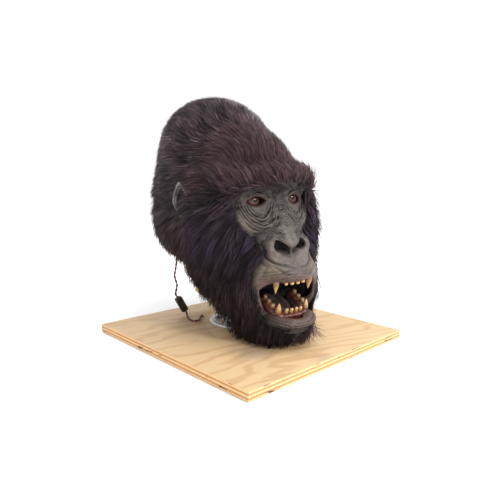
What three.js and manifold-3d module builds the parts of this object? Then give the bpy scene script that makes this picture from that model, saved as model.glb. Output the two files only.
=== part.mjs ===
// Gorilla mask on its plywood display stand. The mask is a moulded latex face with acrylic eyes, dental pieces and a
// black mouth bag, set into a hood of long fur that is open below for the wearer's head. It leans a little on its stand.
// Millimetres. x runs to the mask's left, -y is where the face looks, z rises from the underside of the board, and the
// origin is the middle of the board's underside.
import * as THREE from 'three';
import { mergeVertices } from 'three/addons/utils/BufferGeometryUtils.js';
import Module from 'manifold-3d';

const wasm = await Module();
wasm.setup();

// Board, flange and post
const BOARD_SIDE = 340;
const BOARD_THICK = 12.7;
const BOARD_TURN = 15;            // degrees that the board is turned under the mask
const FLANGE_DIA = 100;
const FLANGE_THICK = 4;
const SOCKET_DIA = 46;
const SOCKET_HEIGHT = 22;
const SCREW_CIRCLE = FLANGE_DIA - 26;
const SCREW_HEAD_DIA = 9;
const SCREW_HEAD_HEIGHT = 2.6;
const SCREW_SHANK_DIA = 4.4;
const SCREW_COUNT = 4;
const POST_DIA = 33.4;
const POST_Y = 37;                // the post stands behind the board's middle, under the mask's weight
const CROWN_BLOCK_DIA = 104;
const CROWN_BLOCK_HEIGHT = 58;
const ARM_WIDTH = 30;
const ARM_THICK = 18;
const ARM_HEIGHT = 31;            // underside above the board
const ARM_FRONT = 34;             // reach before and behind the post's middle
const ARM_BACK = 116;
const ARM_POINT = 30;             // length of the wedge at its back end

// Mask
const HEAD_WIDTH = 180;           // bare head under the fur
const HEAD_LENGTH = 325;
const HEAD_HEIGHT = 360;
const LEAN = -3;                  // degrees about y, on the stand
const LEAN_PIVOT = 112;           // height that the lean turns about
const SKIN_WALL = 6;
const HOOD_WALL = 10;             // backing and fur together, where they are thinnest
const CROWN_FUR = 13;             // depth of the fur on the crest,
const SIDE_FUR = 20;              // on the sides and nape,
const FACE_FUR = 7;               // and beside the bare face
const LOCK_LENGTH = 54;
const LOCK_WIDTH = 22;
const LOCK_THICK = 9;
const LOCK_LIFT = 5;              // how far a lock's tip stands off the fur
const EAR_HEIGHT = 56;
const EAR_WIDTH = 34;
const EAR_DEPTH = 30;
const EAR_WALL = 3;
const EYE_DIA = 26;
const EYE_OPENING_WIDTH = 27;
const EYE_OPENING_HEIGHT = 15;
const CORNEA_RISE = 1.2;
const NOSTRIL_WIDTH = 21;
const NOSTRIL_DEPTH = 34;
const NOSTRIL_HEIGHT = 14;
const MOUTH_WIDTH = 90;
const MOUTH_RISE = 10;            // above the line between the corners of the mouth
const MOUTH_DROP = 41;            // and below it
const MOUTH_LENGTH = 168;         // front to back, most of it before the lips
const BAG_WALL = 2;
const JAW_OPEN = 26;              // degrees that the lower teeth drop at the front
const ARCH_WIDTH = 71;            // outside the last upper teeth
const LOWER_ARCH = 0.86;          // width of the lower arch against the upper
const ARCH_DEPTH = 58;
const GUM_WIDTH = 11;
const GUM_HEIGHT = 12;
const TOOTH_ROOM = 19;            // room behind the lips for the teeth, past the gums
const TOOTH_CLEARANCE = 1.2;
const TONGUE_LENGTH = 70;
const TONGUE_WIDTH = 34;
const TONGUE_THICK = 12;

// Cable and its connector
const CORD_DIA = 3.8;
const CONNECTOR_WIDTH = 12;
const CONNECTOR_DEPTH = 10;
const CORD_IN_HOOD = 9;           // how far the cable reaches up into the fur
const CABLE_HOLE_DIA = 9;

const GAP = 0.3;                  // between pieces that touch
const REACH = 600;                // a cutter's size, past everything

const degrees = THREE.MathUtils.degToRad;
const boardTop = BOARD_THICK;

// Rows of a table as objects with the columns' names
const table = (columns, rows) => rows.map((row) => Object.fromEntries(columns.map((name, i) => [name, row[i]])));

// A place in the head: shares of its width from the middle, of its length from the board's middle, and of its height
const inHead = (x, y, z) => new THREE.Vector3(x * HEAD_WIDTH, y * HEAD_LENGTH, boardTop + z * HEAD_HEIGHT);

// The head's swellings. Places and half sizes are shares of the head's width, length and height, tilt is degrees about
// x, and blend is how softly a swelling flows into the ones before it, as a share of the head's width. A row with x
// above 0 stands on both sides.
const FORM_COLUMNS = ['name', 'x', 'y', 'z', 'wide', 'deep', 'high', 'tilt', 'blend'];
const SKULL = table(FORM_COLUMNS, [
  ['cranium', 0, 0.34, 0.58, 0.49, 0.38, 0.25, 0, 0.05],
  ['crest', 0, 0.36, 0.8, 0.42, 0.32, 0.195, 8, 0.2],
  ['forehead', 0, 0.0, 0.68, 0.3, 0.2, 0.15, 18, 0.2],
  ['cheek', 0.27, 0.0, 0.4, 0.16, 0.17, 0.17, 0, 0.25],
  ['neck', 0, 0.14, 0.3, 0.29, 0.27, 0.28, 0, 0.25],
  ['jaw', 0, -0.17, 0.12, 0.27, 0.18, 0.085, 12, 0.15],
  ['throat', 0, -0.06, 0.11, 0.22, 0.14, 0.14, 0, 0.2],
  ['muzzle', 0, -0.18, 0.33, 0.3, 0.18, 0.105, 0, 0.15],
]);
const BROW = table(FORM_COLUMNS, [
  ['brow', 0, -0.185, 0.64, 0.33, 0.085, 0.042, -10, 0.08],
  ['outer_brow', 0.235, -0.16, 0.625, 0.125, 0.062, 0.04, 0, 0.08],
  ['cheekbone', 0.25, -0.135, 0.5, 0.145, 0.08, 0.08, 0, 0.1],
]);
const FACE = table(FORM_COLUMNS, [
  ['eyelid', 0.172, -0.18, 0.575, 0.086, 0.047, 0.043, 0, 0.06],
  ['bridge', 0, -0.185, 0.545, 0.085, 0.066, 0.085, 12, 0.07],
  ['nose', 0, -0.245, 0.465, 0.115, 0.08, 0.078, 20, 0.07],
  ['nose_tip', 0, -0.305, 0.418, 0.11, 0.058, 0.04, 0, 0.05],
  ['nostril_wing', 0.13, -0.285, 0.4, 0.08, 0.062, 0.044, 0, 0.045],
  ['upper_lip', 0, -0.3, 0.31, 0.235, 0.115, 0.058, 0, 0.07],
  ['lip_corner', 0.21, -0.25, 0.285, 0.09, 0.08, 0.048, 0, 0.07],
  ['mouth_fill', 0, -0.2, 0.2, 0.25, 0.15, 0.09, 0, 0.06],
  ['mouth_corner', 0.24, -0.235, 0.22, 0.075, 0.085, 0.09, 0, 0.07],
  ['lower_lip', 0, -0.325, 0.118, 0.215, 0.103, 0.037, 0, 0.05],
  ['chin', 0, -0.31, 0.085, 0.17, 0.085, 0.045, 0, 0.06],
]);
const RUFF = table(FORM_COLUMNS, [   // fur that stands away from the head
  ['brow_tuft', 0, -0.22, 0.665, 0.25, 0.09, 0.05, 0, 0.15],
  ['brow_side', 0.3, -0.12, 0.63, 0.1, 0.08, 0.07, 0, 0.15],
  ['temple', 0.36, 0.1, 0.56, 0.17, 0.2, 0.17, 0, 0.2],
  ['sideburn', 0.38, -0.03, 0.44, 0.19, 0.17, 0.17, 0, 0.15],
  ['cheek_fur', 0.27, -0.13, 0.24, 0.13, 0.12, 0.14, 0, 0.15],
  ['beard', 0, -0.23, 0.05, 0.26, 0.15, 0.045, 0, 0.12],
  ['nape', 0.28, 0.36, 0.44, 0.32, 0.3, 0.17, 0, 0.2],
]);
const HOLLOW = table(FORM_COLUMNS, [ // the room inside for the wearer's head
  ['crown', 0, 0.34, 0.575, 0.46, 0.36, 0.235, 0, 0.05],
  ['crest_room', 0, 0.36, 0.79, 0.37, 0.295, 0.175, 8, 0.2],
  ['forehead_room', 0, 0.02, 0.66, 0.3, 0.18, 0.13, 0, 0.2],
  ['face_room', 0, -0.06, 0.48, 0.28, 0.15, 0.15, 0, 0.2],
  ['muzzle_room', 0, -0.16, 0.28, 0.25, 0.19, 0.12, 0, 0.15],
  ['jaw_room', 0, -0.17, 0.13, 0.21, 0.15, 0.065, 0, 0.15],
  ['neck_room', 0, 0.21, 0.28, 0.36, 0.3, 0.28, 0, 0.2],
]);

// Outline of the bare face from the front, from the middle of the brow down its left side to the chin
const FACE_FRONT = table(['x', 'z'], [
  [0, 0.605], [0.17, 0.617], [0.29, 0.607], [0.352, 0.565], [0.335, 0.505], [0.27, 0.455], [0.26, 0.415],
  [0.36, 0.375], [0.38, 0.2], [0.28, 0.1], [0.15, 0.07], [0, 0.062],
]);
// Back edge of the bare face from the side, from the top down
const FACE_SIDE = table(['y', 'z'], [
  [-0.08, 0.8], [-0.1, 0.47], [-0.2, 0.41], [-0.232, 0.36], [-0.25, 0.27], [-0.27, 0.17], [-0.33, 0.1], [-0.36, -0.05],
]);
// Lower edge of the hood from the side, from behind the nape to the throat
const HEM = table(['y', 'z'], [
  [0.95, 0.36], [0.6, 0.34], [0.43, 0.32], [0.3, 0.29], [0.2, 0.262], [0.12, 0.22], [0.037, 0.175], [-0.02, 0.14],
  [-0.09, 0.08], [-0.165, 0],
]);

// Rows of locks on each side: bearing of the first and last from the face, in degrees, and their heights as shares
const LOCK_ROWS = table(['from', 'to', 'zFrom', 'zTo', 'count', 'length'], [
  [24, 165, 0.985, 0.93, 3, 0.8],
  [14, 160, 0.86, 0.8, 4, 0.9],
  [30, 172, 0.74, 0.66, 5, 1],
  [58, 166, 0.6, 0.52, 4, 1],
  [48, 172, 0.46, 0.42, 6, 1.1],
  [44, 170, 0.34, 0.37, 6, 1.15],
  [40, 150, 0.22, 0.33, 5, 1],
  [30, 96, 0.1, 0.2, 3, 0.8],
]);

const EYE = inHead(0.173, -0.178, 0.575);
const EAR = inHead(0.55, 0.12, 0.575);
const NOSTRIL = inHead(0.085, -0.335, 0.412);
const MOUTH = inHead(0, -0.3, 0.24);
const TONGUE = inHead(0, -0.2, 0.165);
const HINGE = inHead(0, -0.03, 0.28);               // the lower teeth drop about this
const RIDGE = inHead(0, -0.385, 0.283);              // front of the upper gum, at the teeth's feet
const CORD_START = new THREE.Vector3(-85, 106, 116);
const CORD_ROUTES = {                               // on the stand, in millimetres, from the hood to the hole
  upper: table(['x', 'y', 'z'], [[-86, 107, 100], [-88, 108, 84], [-85, 105, 68]]),
  lower: table(['x', 'y', 'z'], [
    [-67.8, 102, 16.2], [-71.5, 91, 15.2], [-74.5, 75, 15.2], [-71, 62, 15.2], [-64, 61.5, 15.2], [-57.5, 70, 15.6],
    [-51.5, 80, 16.4], [-46.5, 87, 15], [-45, 89, 9.5], [-45, 89, 3],
  ]),
};
const CONNECTOR_TOP = new THREE.Vector3(-84.6, 103, 47);
const CONNECTOR_LOW = new THREE.Vector3(-70, 105, 22);

function smoothMin(a, b, blend) {
  const h = Math.max(blend - Math.abs(a - b), 0) / blend;
  return Math.min(a, b) - h * h * blend / 4;
}

// About how far a point lies outside one form, negative within
function pastForm(point, form, side) {
  const centre = inHead(form.x * side, form.y, form.z);
  const tilt = degrees(form.tilt);
  const dy = point.y - centre.y;
  const dz = point.z - centre.z;
  const along = dy * Math.cos(tilt) + dz * Math.sin(tilt);
  const upward = dz * Math.cos(tilt) - dy * Math.sin(tilt);
  const wide = form.wide * HEAD_WIDTH;
  const deep = form.deep * HEAD_LENGTH;
  const high = form.high * HEAD_HEIGHT;
  const dx = point.x - centre.x;
  const near = Math.hypot(dx / wide, along / deep, upward / high);
  const slope = Math.hypot(dx / wide ** 2, along / deep ** 2, upward / high ** 2);
  return slope > 0 ? near * (near - 1) / slope : -Math.min(wide, deep, high);
}

function pastForms(point, forms) {
  let past = REACH;
  for (const form of forms) {
    for (const side of form.x > 0 ? [-1, 1] : [1]) {
      past = smoothMin(past, pastForm(point, form, side), form.blend * HEAD_WIDTH);
    }
  }
  return past;
}

const skin = (point) => pastForms(point, [...SKULL, ...BROW, ...FACE]);

// Fur is short on the crest and beside the bare face, and deepens down the sides and back
function furDepth(point) {
  const height = (point.z - boardTop) / HEAD_HEIGHT;
  const backward = point.y / HEAD_LENGTH;
  const depth = THREE.MathUtils.lerp(CROWN_FUR, SIDE_FUR, THREE.MathUtils.smoothstep(0.95 - height, 0, 0.35));
  return THREE.MathUtils.lerp(FACE_FUR, depth, THREE.MathUtils.smoothstep(backward, -0.28, -0.02));
}
const fur = (point) => smoothMin(
  pastForms(point, [...SKULL, ...BROW]) - furDepth(point), pastForms(point, RUFF), 0.1 * HEAD_WIDTH);

// The room stays within the face's skin in front and within the hood's backing elsewhere
function room(point) {
  const backward = THREE.MathUtils.smoothstep(point.y / HEAD_LENGTH, -0.2, -0.05);
  const inSkin = skin(point) + THREE.MathUtils.lerp(SKIN_WALL, HOOD_WALL - SIDE_FUR, backward);
  return Math.max(pastForms(point, HOLLOW), inSkin, fur(point) + HOOD_WALL);
}

// An ellipsoid with a different height above and below its middle
const bowl = (centre, wide, deep, rise, drop) => (point) => Math.hypot(
  (point.x - centre.x) / wide, (point.y - centre.y) / deep, (point.z - centre.z) / (point.z > centre.z ? rise : drop)) - 1;

// Outward direction of a body at a point
function outward(body, point) {
  const at = (x, y, z) => body(new THREE.Vector3(x, y, z).add(point));
  return new THREE.Vector3(at(1, 0, 0) - at(-1, 0, 0), at(0, 1, 0) - at(0, -1, 0), at(0, 0, 1) - at(0, 0, -1)).normalize();
}

// Distance from a centre, along a direction, to where a body ends
function reachOf(body, centre, direction) {
  const point = new THREE.Vector3();
  let far = 300;
  while (far > 0 && body(point.copy(centre).addScaledVector(direction, far)) > 0) far -= 4;
  let near = far;
  far += 4;
  for (let i = 0; i < 14; i++) {
    const middle = (near + far) / 2;
    if (body(point.copy(centre).addScaledVector(direction, middle)) > 0) far = middle;
    else near = middle;
  }
  return near;
}

const towards = (azimuth, fall) => new THREE.Vector3(
  Math.sin(fall) * Math.sin(azimuth), -Math.sin(fall) * Math.cos(azimuth), Math.cos(fall));

// Values spread evenly between stops, with so many steps from each stop to the next
function spread(stops, steps) {
  const values = [];
  steps.forEach((count, i) => {
    for (let k = 0; k < count; k++) values.push(stops[i] + (stops[i + 1] - stops[i]) * k / count);
  });
  return values;
}
const around = (stops, steps) => spread(stops, steps).map(degrees);

// Rings down a spine: they fan out over its top, lie level along it and fan in under its foot
function rings(y, top, foot, caps, levels) {
  const high = inHead(0, y, top);
  const low = inHead(0, y, foot);
  const fan = (centre, from, to, count) => Array.from({ length: count }, (_, i) => (
    { centre, fall: degrees(from + (to - from) * (i + 0.7) / count) }));
  const level = Array.from({ length: levels + 1 }, (_, i) => (
    { centre: high.clone().lerp(low, i / levels), fall: Math.PI / 2 }));
  return [...fan(high, 0, 86, caps), ...level, ...fan(low, 92, 178, Math.ceil(caps * 0.7))];
}

// A closed skin round a spine: a point at the top, one along every ring's directions, and a point at the bottom
function roundBody(body, azimuths, ringList, grow = 0) {
  const points = [];
  const put = (centre, azimuth, fall) => {
    const direction = towards(azimuth, fall);
    points.push(...centre.clone().addScaledVector(direction, reachOf(body, centre, direction) + grow).toArray());
  };
  put(ringList[0].centre, 0, 0);
  for (const ring of ringList) for (const azimuth of azimuths) put(ring.centre, azimuth, ring.fall);
  put(ringList.at(-1).centre, 0, Math.PI);
  const n = azimuths.length;
  const last = 1 + ringList.length * n;
  const faces = [];
  for (let i = 0; i < n; i++) {
    const j = (i + 1) % n;
    faces.push(0, 1 + i, 1 + j, last, last - n + j, last - n + i);
    for (let ring = 0; ring < ringList.length - 1; ring++) {
      const a = 1 + ring * n;
      const b = a + n;
      faces.push(a + i, b + i, b + j, a + i, b + j, a + j);
    }
  }
  const geometry = new THREE.BufferGeometry();
  geometry.setAttribute('position', new THREE.Float32BufferAttribute(points, 3));
  geometry.setIndex(faces);
  return geometry;
}

function toSolid(geometry) {
  const bare = geometry.clone();
  bare.deleteAttribute('normal');
  bare.deleteAttribute('uv');
  const merged = mergeVertices(bare, 1e-4);
  return new wasm.Manifold(new wasm.Mesh({
    numProp: 3,
    vertProperties: new Float32Array(merged.attributes.position.array),
    triVerts: new Uint32Array(merged.index.array),
  }));
}

function toGeometry(solid) {
  const mesh = solid.getMesh();
  const geometry = new THREE.BufferGeometry();
  geometry.setAttribute('position', new THREE.BufferAttribute(new Float32Array(mesh.vertProperties), 3));
  geometry.setIndex(new THREE.BufferAttribute(new Uint32Array(mesh.triVerts), 1));
  geometry.computeVertexNormals();
  return geometry;
}

// The largest body of a solid, without crumbs that a cut left behind
function mainBody(solid) {
  return solid.decompose().reduce((most, body) => (body.volume() > most.volume() ? body : most));
}

const leanMatrix = new THREE.Matrix4().makeTranslation(0, 0, LEAN_PIVOT)
  .multiply(new THREE.Matrix4().makeRotationY(degrees(LEAN)))
  .multiply(new THREE.Matrix4().makeTranslation(0, 0, -LEAN_PIVOT));
const leanBack = leanMatrix.clone().invert();

// Prism of a closed outline, along y or along x, both ways past everything
function prism(outline, axis) {
  const shape = new THREE.Shape(outline.map(([across, up]) => new THREE.Vector2(across, up)));
  const geometry = new THREE.ExtrudeGeometry(shape, { depth: 2 * REACH, bevelEnabled: false });
  geometry.translate(0, 0, -REACH).rotateX(Math.PI / 2);
  return axis === 'x' ? geometry.rotateZ(Math.PI / 2) : geometry;
}

// Front outline of the bare face, both sides, and its side outline, each moved outward by a gap
function faceRegion(grow) {
  const half = FACE_FRONT.map(({ x, z }) => {
    const place = inHead(x, 0, z);
    const out = new THREE.Vector2(place.x / 62, (place.z - 150) / 110).normalize();
    return [place.x === 0 ? 0 : place.x + out.x * grow, place.z + out.y * grow];
  });
  const front = [...half, ...half.slice(1, -1).reverse().map(([x, z]) => [-x, z])].reverse();
  const back = FACE_SIDE.map(({ y, z }) => {
    const place = inHead(0, y, z);
    return [place.y + grow, place.z];
  });
  const side = [[-REACH, back[0][1]], [-REACH, back.at(-1)[1]], ...back.reverse()];
  return toSolid(prism(front, 'y')).intersect(toSolid(prism(side, 'x')));
}

// Everything below the hood's lower edge
function belowHem() {
  const edge = HEM.map(({ y, z }) => {
    const place = inHead(0, y, z);
    return [place.y, place.z];
  });
  edge.push([-REACH, boardTop]);
  return toSolid(prism([...edge, [-REACH, -REACH], [edge[0][0], -REACH]].reverse(), 'x'));
}

// A tapering lock: a low triangle at its root, a wider one along it, and a point
function lock(root, length, widthShare) {
  const normal = outward(fur, root);
  const height = (root.z - boardTop) / HEAD_HEIGHT;
  const crown = THREE.MathUtils.smoothstep(height, 0.6, 0.85);
  const front = THREE.MathUtils.smoothstep(-root.y / HEAD_LENGTH, 0.05, 0.2);
  const flow = new THREE.Vector3(
    0.25 * Math.sign(root.x) * front * crown,
    THREE.MathUtils.lerp(0.55, 1, crown) - 0.75 * front * (1 - crown),
    THREE.MathUtils.lerp(-1, 0.15 + 0.7 * front, crown),
  );
  flow.addScaledVector(normal, -flow.dot(normal)).normalize();
  const across = new THREE.Vector3().crossVectors(normal, flow);
  const long = LOCK_LENGTH * length;
  const wide = LOCK_WIDTH * widthShare / 2;
  const along = (share, lift) => {
    const point = root.clone().addScaledVector(flow, long * share);
    for (let i = 0; i < 4; i++) point.addScaledVector(outward(fur, point), (lift - fur(point)) * 0.8);
    return point;
  };
  const tip = along(1, LOCK_LIFT);
  const belly = along(0.42, LOCK_LIFT * 0.3);
  const foot = root.clone().addScaledVector(normal, -LOCK_THICK * 0.7).addScaledVector(flow, -long * 0.08);
  const corners = [[foot, 0.6], [belly, 1]].flatMap(([middle, share]) => [
    middle.clone().addScaledVector(across, wide * share).addScaledVector(normal, -LOCK_THICK / 4 * share),
    middle.clone().addScaledVector(normal, LOCK_THICK * 0.6 * share),
    middle.clone().addScaledVector(across, -wide * share).addScaledVector(normal, -LOCK_THICK / 4 * share),
  ]);
  const points = [...corners, tip].flatMap((corner) => corner.toArray());
  const faces = [0, 1, 2];
  for (let i = 0; i < 3; i++) {
    const j = (i + 1) % 3;
    faces.push(i, i + 3, j + 3, i, j + 3, j, i + 3, 6, j + 3);
  }
  const geometry = new THREE.BufferGeometry();
  geometry.setAttribute('position', new THREE.Float32BufferAttribute(points, 3));
  geometry.setIndex(faces);
  const solid = toSolid(geometry);
  return solid.volume() > 0 ? solid : toSolid(geometry.setIndex(faces.reverse()));
}

// Colours
const finish = (color, roughness, metalness = 0) => new THREE.MeshStandardMaterial({ color, roughness, metalness });
const plywood = finish(0xd9b47c, 0.7);
const pine = finish(0xc79a4c, 0.65);
const zinc = finish(0xb4b8bc, 0.35, 0.9);
const latex = finish(0x57504d, 0.55);
const furBrown = finish(0x2c1f22, 0.95);
const acrylic = finish(0x6b2a18, 0.08);
const gumResin = finish(0x5a2a20, 0.35);
const toothResin = finish(0xd9b873, 0.3);
const tongueLatex = finish(0x3f2f33, 0.4);
const bagBlack = finish(0x0d0a0b, 0.8);
const wire = finish(0x3a1c1a, 0.5);
const connectorBlack = finish(0x141414, 0.45);

const group = new THREE.Group();
const head = new THREE.Group();   // leans on the stand
leanMatrix.decompose(head.position, head.quaternion, head.scale);
group.add(head);

function piece(parent, name, geometry, material, place) {
  const mesh = new THREE.Mesh(geometry, material);
  mesh.name = name;
  if (place) mesh.position.copy(place);
  parent.add(mesh);
  return mesh;
}

// The head as closed bodies round a spine: bare skin, fur and the room inside
const SPINE = 0.04;
const furRings = rings(SPINE, 0.68, 0.16, 5, 12);
const roomRings = rings(0.14, 0.68, 0.16, 4, 8);
const skinSolid = toSolid(roundBody(
  skin, around([-180, -76, -48, 48, 76, 180], [3, 3, 16, 3, 3]), rings(SPINE, 0.64, 0.1, 4, 20)));
const roomSolid = toSolid(roundBody(room, around([-180, 180], [16]), roomRings));
const roomSlack = toSolid(roundBody(room, around([-180, 180], [16]), roomRings, -GAP));
const furSolid = toSolid(roundBody(fur, around([-180, 180], [24]), furRings));
const mouthSolid = (grow) => toSolid(roundBody(
  bowl(MOUTH, MOUTH_WIDTH / 2 + grow, MOUTH_LENGTH / 2 + grow, MOUTH_RISE + grow, MOUTH_DROP + grow),
  around([-180, 180], [16]), Array.from({ length: 8 }, (_, i) => ({ centre: MOUTH, fall: degrees(20 * (i + 1)) }))));
const onSides = (build) => [['right', -1], ['left', 1]].forEach(([name, side]) => build(name, side));

// Ball of the eye with its raised clear front, looking along -y
function eyeball(grow) {
  const radius = EYE_DIA / 2 + grow;
  const profile = [180, 155, 125, 90, 65, 38].map((angle) => (
    new THREE.Vector2(Math.sin(degrees(angle)) * radius, Math.cos(degrees(angle)) * radius)));
  profile[0].x = 0;
  for (const [across, up] of [[0.42, 0.93], [0.22, 0.985], [0, 1]]) {
    profile.push(new THREE.Vector2(across * radius, up * (radius + CORNEA_RISE)));
  }
  return toSolid(new THREE.LatheGeometry(profile, 14).rotateX(Math.PI));
}

// Almond-shaped plug that opens the lids
function lidOpening() {
  const shape = new THREE.Shape();
  shape.moveTo(-EYE_OPENING_WIDTH / 2, 0);
  shape.quadraticCurveTo(0, EYE_OPENING_HEIGHT, EYE_OPENING_WIDTH / 2, 0);
  shape.quadraticCurveTo(0, -EYE_OPENING_HEIGHT * 0.9, -EYE_OPENING_WIDTH / 2, 0);
  const geometry = new THREE.ExtrudeGeometry(shape, { depth: 60, bevelEnabled: false, curveSegments: 6 });
  return geometry.rotateX(Math.PI / 2);
}

// Gum: a square-fronted horseshoe, open to the back, with its front at y = 0 and its flat ridge at z = 0
function archShape(half, deep, width) {
  const bend = (value) => Math.sign(value) * Math.sqrt(Math.abs(value));
  const line = (inset) => Array.from({ length: 15 }, (_, i) => {
    const angle = Math.PI * i / 14;
    return [bend(Math.cos(angle)) * (half - inset), deep - bend(Math.sin(angle)) * (deep - inset)];
  });
  return new THREE.Shape([...line(0), ...line(width).reverse()].map(([x, y]) => new THREE.Vector2(x, y)));
}
function archPrism(share, grow, from, to) {
  const shape = archShape(ARCH_WIDTH / 2 * share + grow, ARCH_DEPTH * share + 2 * grow, GUM_WIDTH + 2 * grow);
  return new THREE.ExtrudeGeometry(shape, { depth: to - from, bevelEnabled: false }).translate(0, -grow, from);
}
const gum = (share, rise) => archPrism(share, 0, Math.min(0, rise * GUM_HEIGHT), Math.max(0, rise * GUM_HEIGHT));

// What a gum with its teeth takes out of the foam and the bag round it
function roomForGum(share, rise, matrix) {
  const high = rise * (GUM_HEIGHT + GAP);
  const past = -rise * TOOTH_ROOM;
  const gumRoom = archPrism(share, GAP, Math.min(-rise * GAP, high), Math.max(-rise * GAP, high));
  const toothRoom = archPrism(share, TOOTH_CLEARANCE, Math.min(0, past), Math.max(0, past));
  return toSolid(gumRoom).add(toSolid(toothRoom)).transform(matrix.toArray());
}

// Teeth of one side, from the middle to the back: place as shares of the arch's half width and depth, the way each
// one faces in degrees, and its size in millimetres with how much of its width the end keeps
const TOOTH_COLUMNS = ['name', 'across', 'back', 'turn', 'wide', 'deep', 'high', 'point'];
const UPPER_TEETH = table(TOOTH_COLUMNS, [
  ['incisor_1', 0.155, 0, 4, 8, 6, 9.5, 0.85], ['incisor_2', 0.46, 0.015, 12, 7.5, 6, 9, 0.8],
  ['canine', 0.9, 0.1, 50, 10, 9, 18, 0.16], ['cheek_tooth_1', 1, 0.36, 88, 8.5, 8, 9, 0.7],
  ['cheek_tooth_2', 1, 0.58, 90, 9.5, 8.5, 8, 0.75], ['cheek_tooth_3', 1, 0.81, 90, 9.5, 8.5, 7.5, 0.75],
]);
const LOWER_TEETH = table(TOOTH_COLUMNS, [
  ['incisor_1', 0.155, 0, 4, 6.6, 5.5, 9.5, 0.85], ['incisor_2', 0.46, 0.015, 10, 6.6, 5.5, 9.5, 0.8],
  ['canine', 0.9, 0.1, 45, 10, 9, 17, 0.16], ['cheek_tooth_1', 1, 0.38, 88, 8.5, 8, 9, 0.7],
  ['cheek_tooth_2', 1, 0.62, 90, 9, 8.5, 8, 0.75], ['cheek_tooth_3', 1, 0.86, 90, 9, 8.5, 7.5, 0.75],
]);

// A tooth stands on z = 0: a flat foot, a fuller belly and a narrower end
function tooth(wide, deep, high, point) {
  const levels = [[0, 0.86], [0.35, 1], [1, point]];
  const sides = 6;
  const points = [];
  for (const [up, share] of levels) {
    for (let i = 0; i < sides; i++) {
      const angle = 2 * Math.PI * i / sides;
      points.push(Math.cos(angle) * wide / 2 * share, Math.sin(angle) * deep / 2 * share, up * high);
    }
  }
  points.push(0, 0, 0, 0, 0, high);
  const foot = sides * levels.length;
  const faces = [];
  for (let i = 0; i < sides; i++) {
    const j = (i + 1) % sides;
    faces.push(foot, j, i, foot + 1, i + 2 * sides, j + 2 * sides);
    for (const a of [0, sides]) faces.push(a + i, a + j, a + sides + j, a + i, a + sides + j, a + sides + i);
  }
  const geometry = new THREE.BufferGeometry();
  geometry.setAttribute('position', new THREE.Float32BufferAttribute(points, 3));
  geometry.setIndex(faces);
  geometry.computeVertexNormals();
  return geometry;
}

function setTeeth(parent, rows, prefix, direction, share) {
  const half = ARCH_WIDTH / 2 * share - GUM_WIDTH / 2;
  const deep = ARCH_DEPTH * share - GUM_WIDTH / 2;
  for (const row of rows) {
    onSides((name, side) => {
      const place = new THREE.Vector3(side * row.across * half, GUM_WIDTH / 2 + row.back * deep, direction * GAP);
      const mesh = piece(parent, `${prefix}_${row.name}_${name}`, tooth(row.wide, row.deep, row.high, row.point),
        toothResin, place);
      mesh.rotation.set(direction < 0 ? Math.PI : 0, 0, degrees(row.turn) * side);
    });
  }
}

// Where the upper and lower sets stand in the head
const upperSet = new THREE.Group();
upperSet.position.copy(RIDGE);
const lowerJaw = new THREE.Group();
lowerJaw.position.copy(HINGE);
lowerJaw.rotation.x = degrees(JAW_OPEN);
const lowerSet = new THREE.Group();
lowerSet.position.copy(RIDGE).sub(HINGE).add(new THREE.Vector3(0, -5, -GAP));
lowerJaw.add(lowerSet);
head.add(upperSet, lowerJaw);
lowerJaw.updateMatrix();
lowerSet.updateMatrix();
upperSet.updateMatrix();
const lowerMatrix = lowerJaw.matrix.clone().multiply(lowerSet.matrix);
const gumRoom = roomForGum(1, 1, upperSet.matrix).add(roomForGum(LOWER_ARCH, -1, lowerMatrix));

// Face: the skin within the bare region, hollowed, with its mouth, lids and nostrils open
let face = skinSolid.intersect(faceRegion(0)).subtract(roomSolid).subtract(mouthSolid(0)).subtract(gumRoom);
onSides((name, side) => {
  const place = EYE.clone().setX(side * EYE.x);
  const lids = lidOpening().translate(place.x, place.y, place.z);
  const ball = eyeball(GAP).transform(new THREE.Matrix4().makeTranslation(...place).toArray());
  const nostril = new THREE.SphereGeometry(0.5, 10, 8).scale(NOSTRIL_WIDTH, NOSTRIL_DEPTH, NOSTRIL_HEIGHT);
  nostril.rotateX(degrees(-18)).rotateZ(degrees(side * 14)).translate(side * NOSTRIL.x, NOSTRIL.y, NOSTRIL.z);
  face = face.subtract(toSolid(lids)).subtract(ball).subtract(toSolid(nostril));
  piece(head, `eye_${name}`, toGeometry(eyeball(0)), acrylic, place);
});
piece(head, 'face_skin', toGeometry(mainBody(face)), latex);

// Hood: fur and backing with locks, cut back from the face, hollowed, and open below
let coat = furSolid;
LOCK_ROWS.forEach((row, rowIndex) => {
  onSides((name, side) => {
    for (let i = 0; i < row.count; i++) {
      const share = (i + 0.5 * (rowIndex % 2)) / row.count;
      const azimuth = degrees(row.from + (row.to - row.from) * share) * side;
      const centre = inHead(0, SPINE, Math.min(row.zFrom + (row.zTo - row.zFrom) * share, 0.68));
      const rise = inHead(0, 0, row.zFrom + (row.zTo - row.zFrom) * share).z - centre.z;
      const fall = rise > 0 ? Math.atan2(60, rise) : Math.PI / 2;
      const direction = towards(azimuth, fall);
      const root = centre.addScaledVector(direction, reachOf(fur, centre, direction));
      coat = coat.add(lock(root, row.length, 1 + 0.2 * ((i * 3 + rowIndex) % 3 - 1)));
    }
  });
});
const cordPath = (rows) => new THREE.CatmullRomCurve3(rows.map(({ x, y, z }) => new THREE.Vector3(x, y, z)));
const cordTube = (path, radius, steps) => {
  const ring = Array.from({ length: 8 }, (_, i) => (
    new THREE.Vector2(Math.cos(i * Math.PI / 4) * radius, Math.sin(i * Math.PI / 4) * radius)));
  return new THREE.ExtrudeGeometry(new THREE.Shape(ring), { steps, bevelEnabled: false, extrudePath: path });
};
const cordTop = CORD_START.clone().add(new THREE.Vector3(0, 0, CORD_IN_HOOD));
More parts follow.
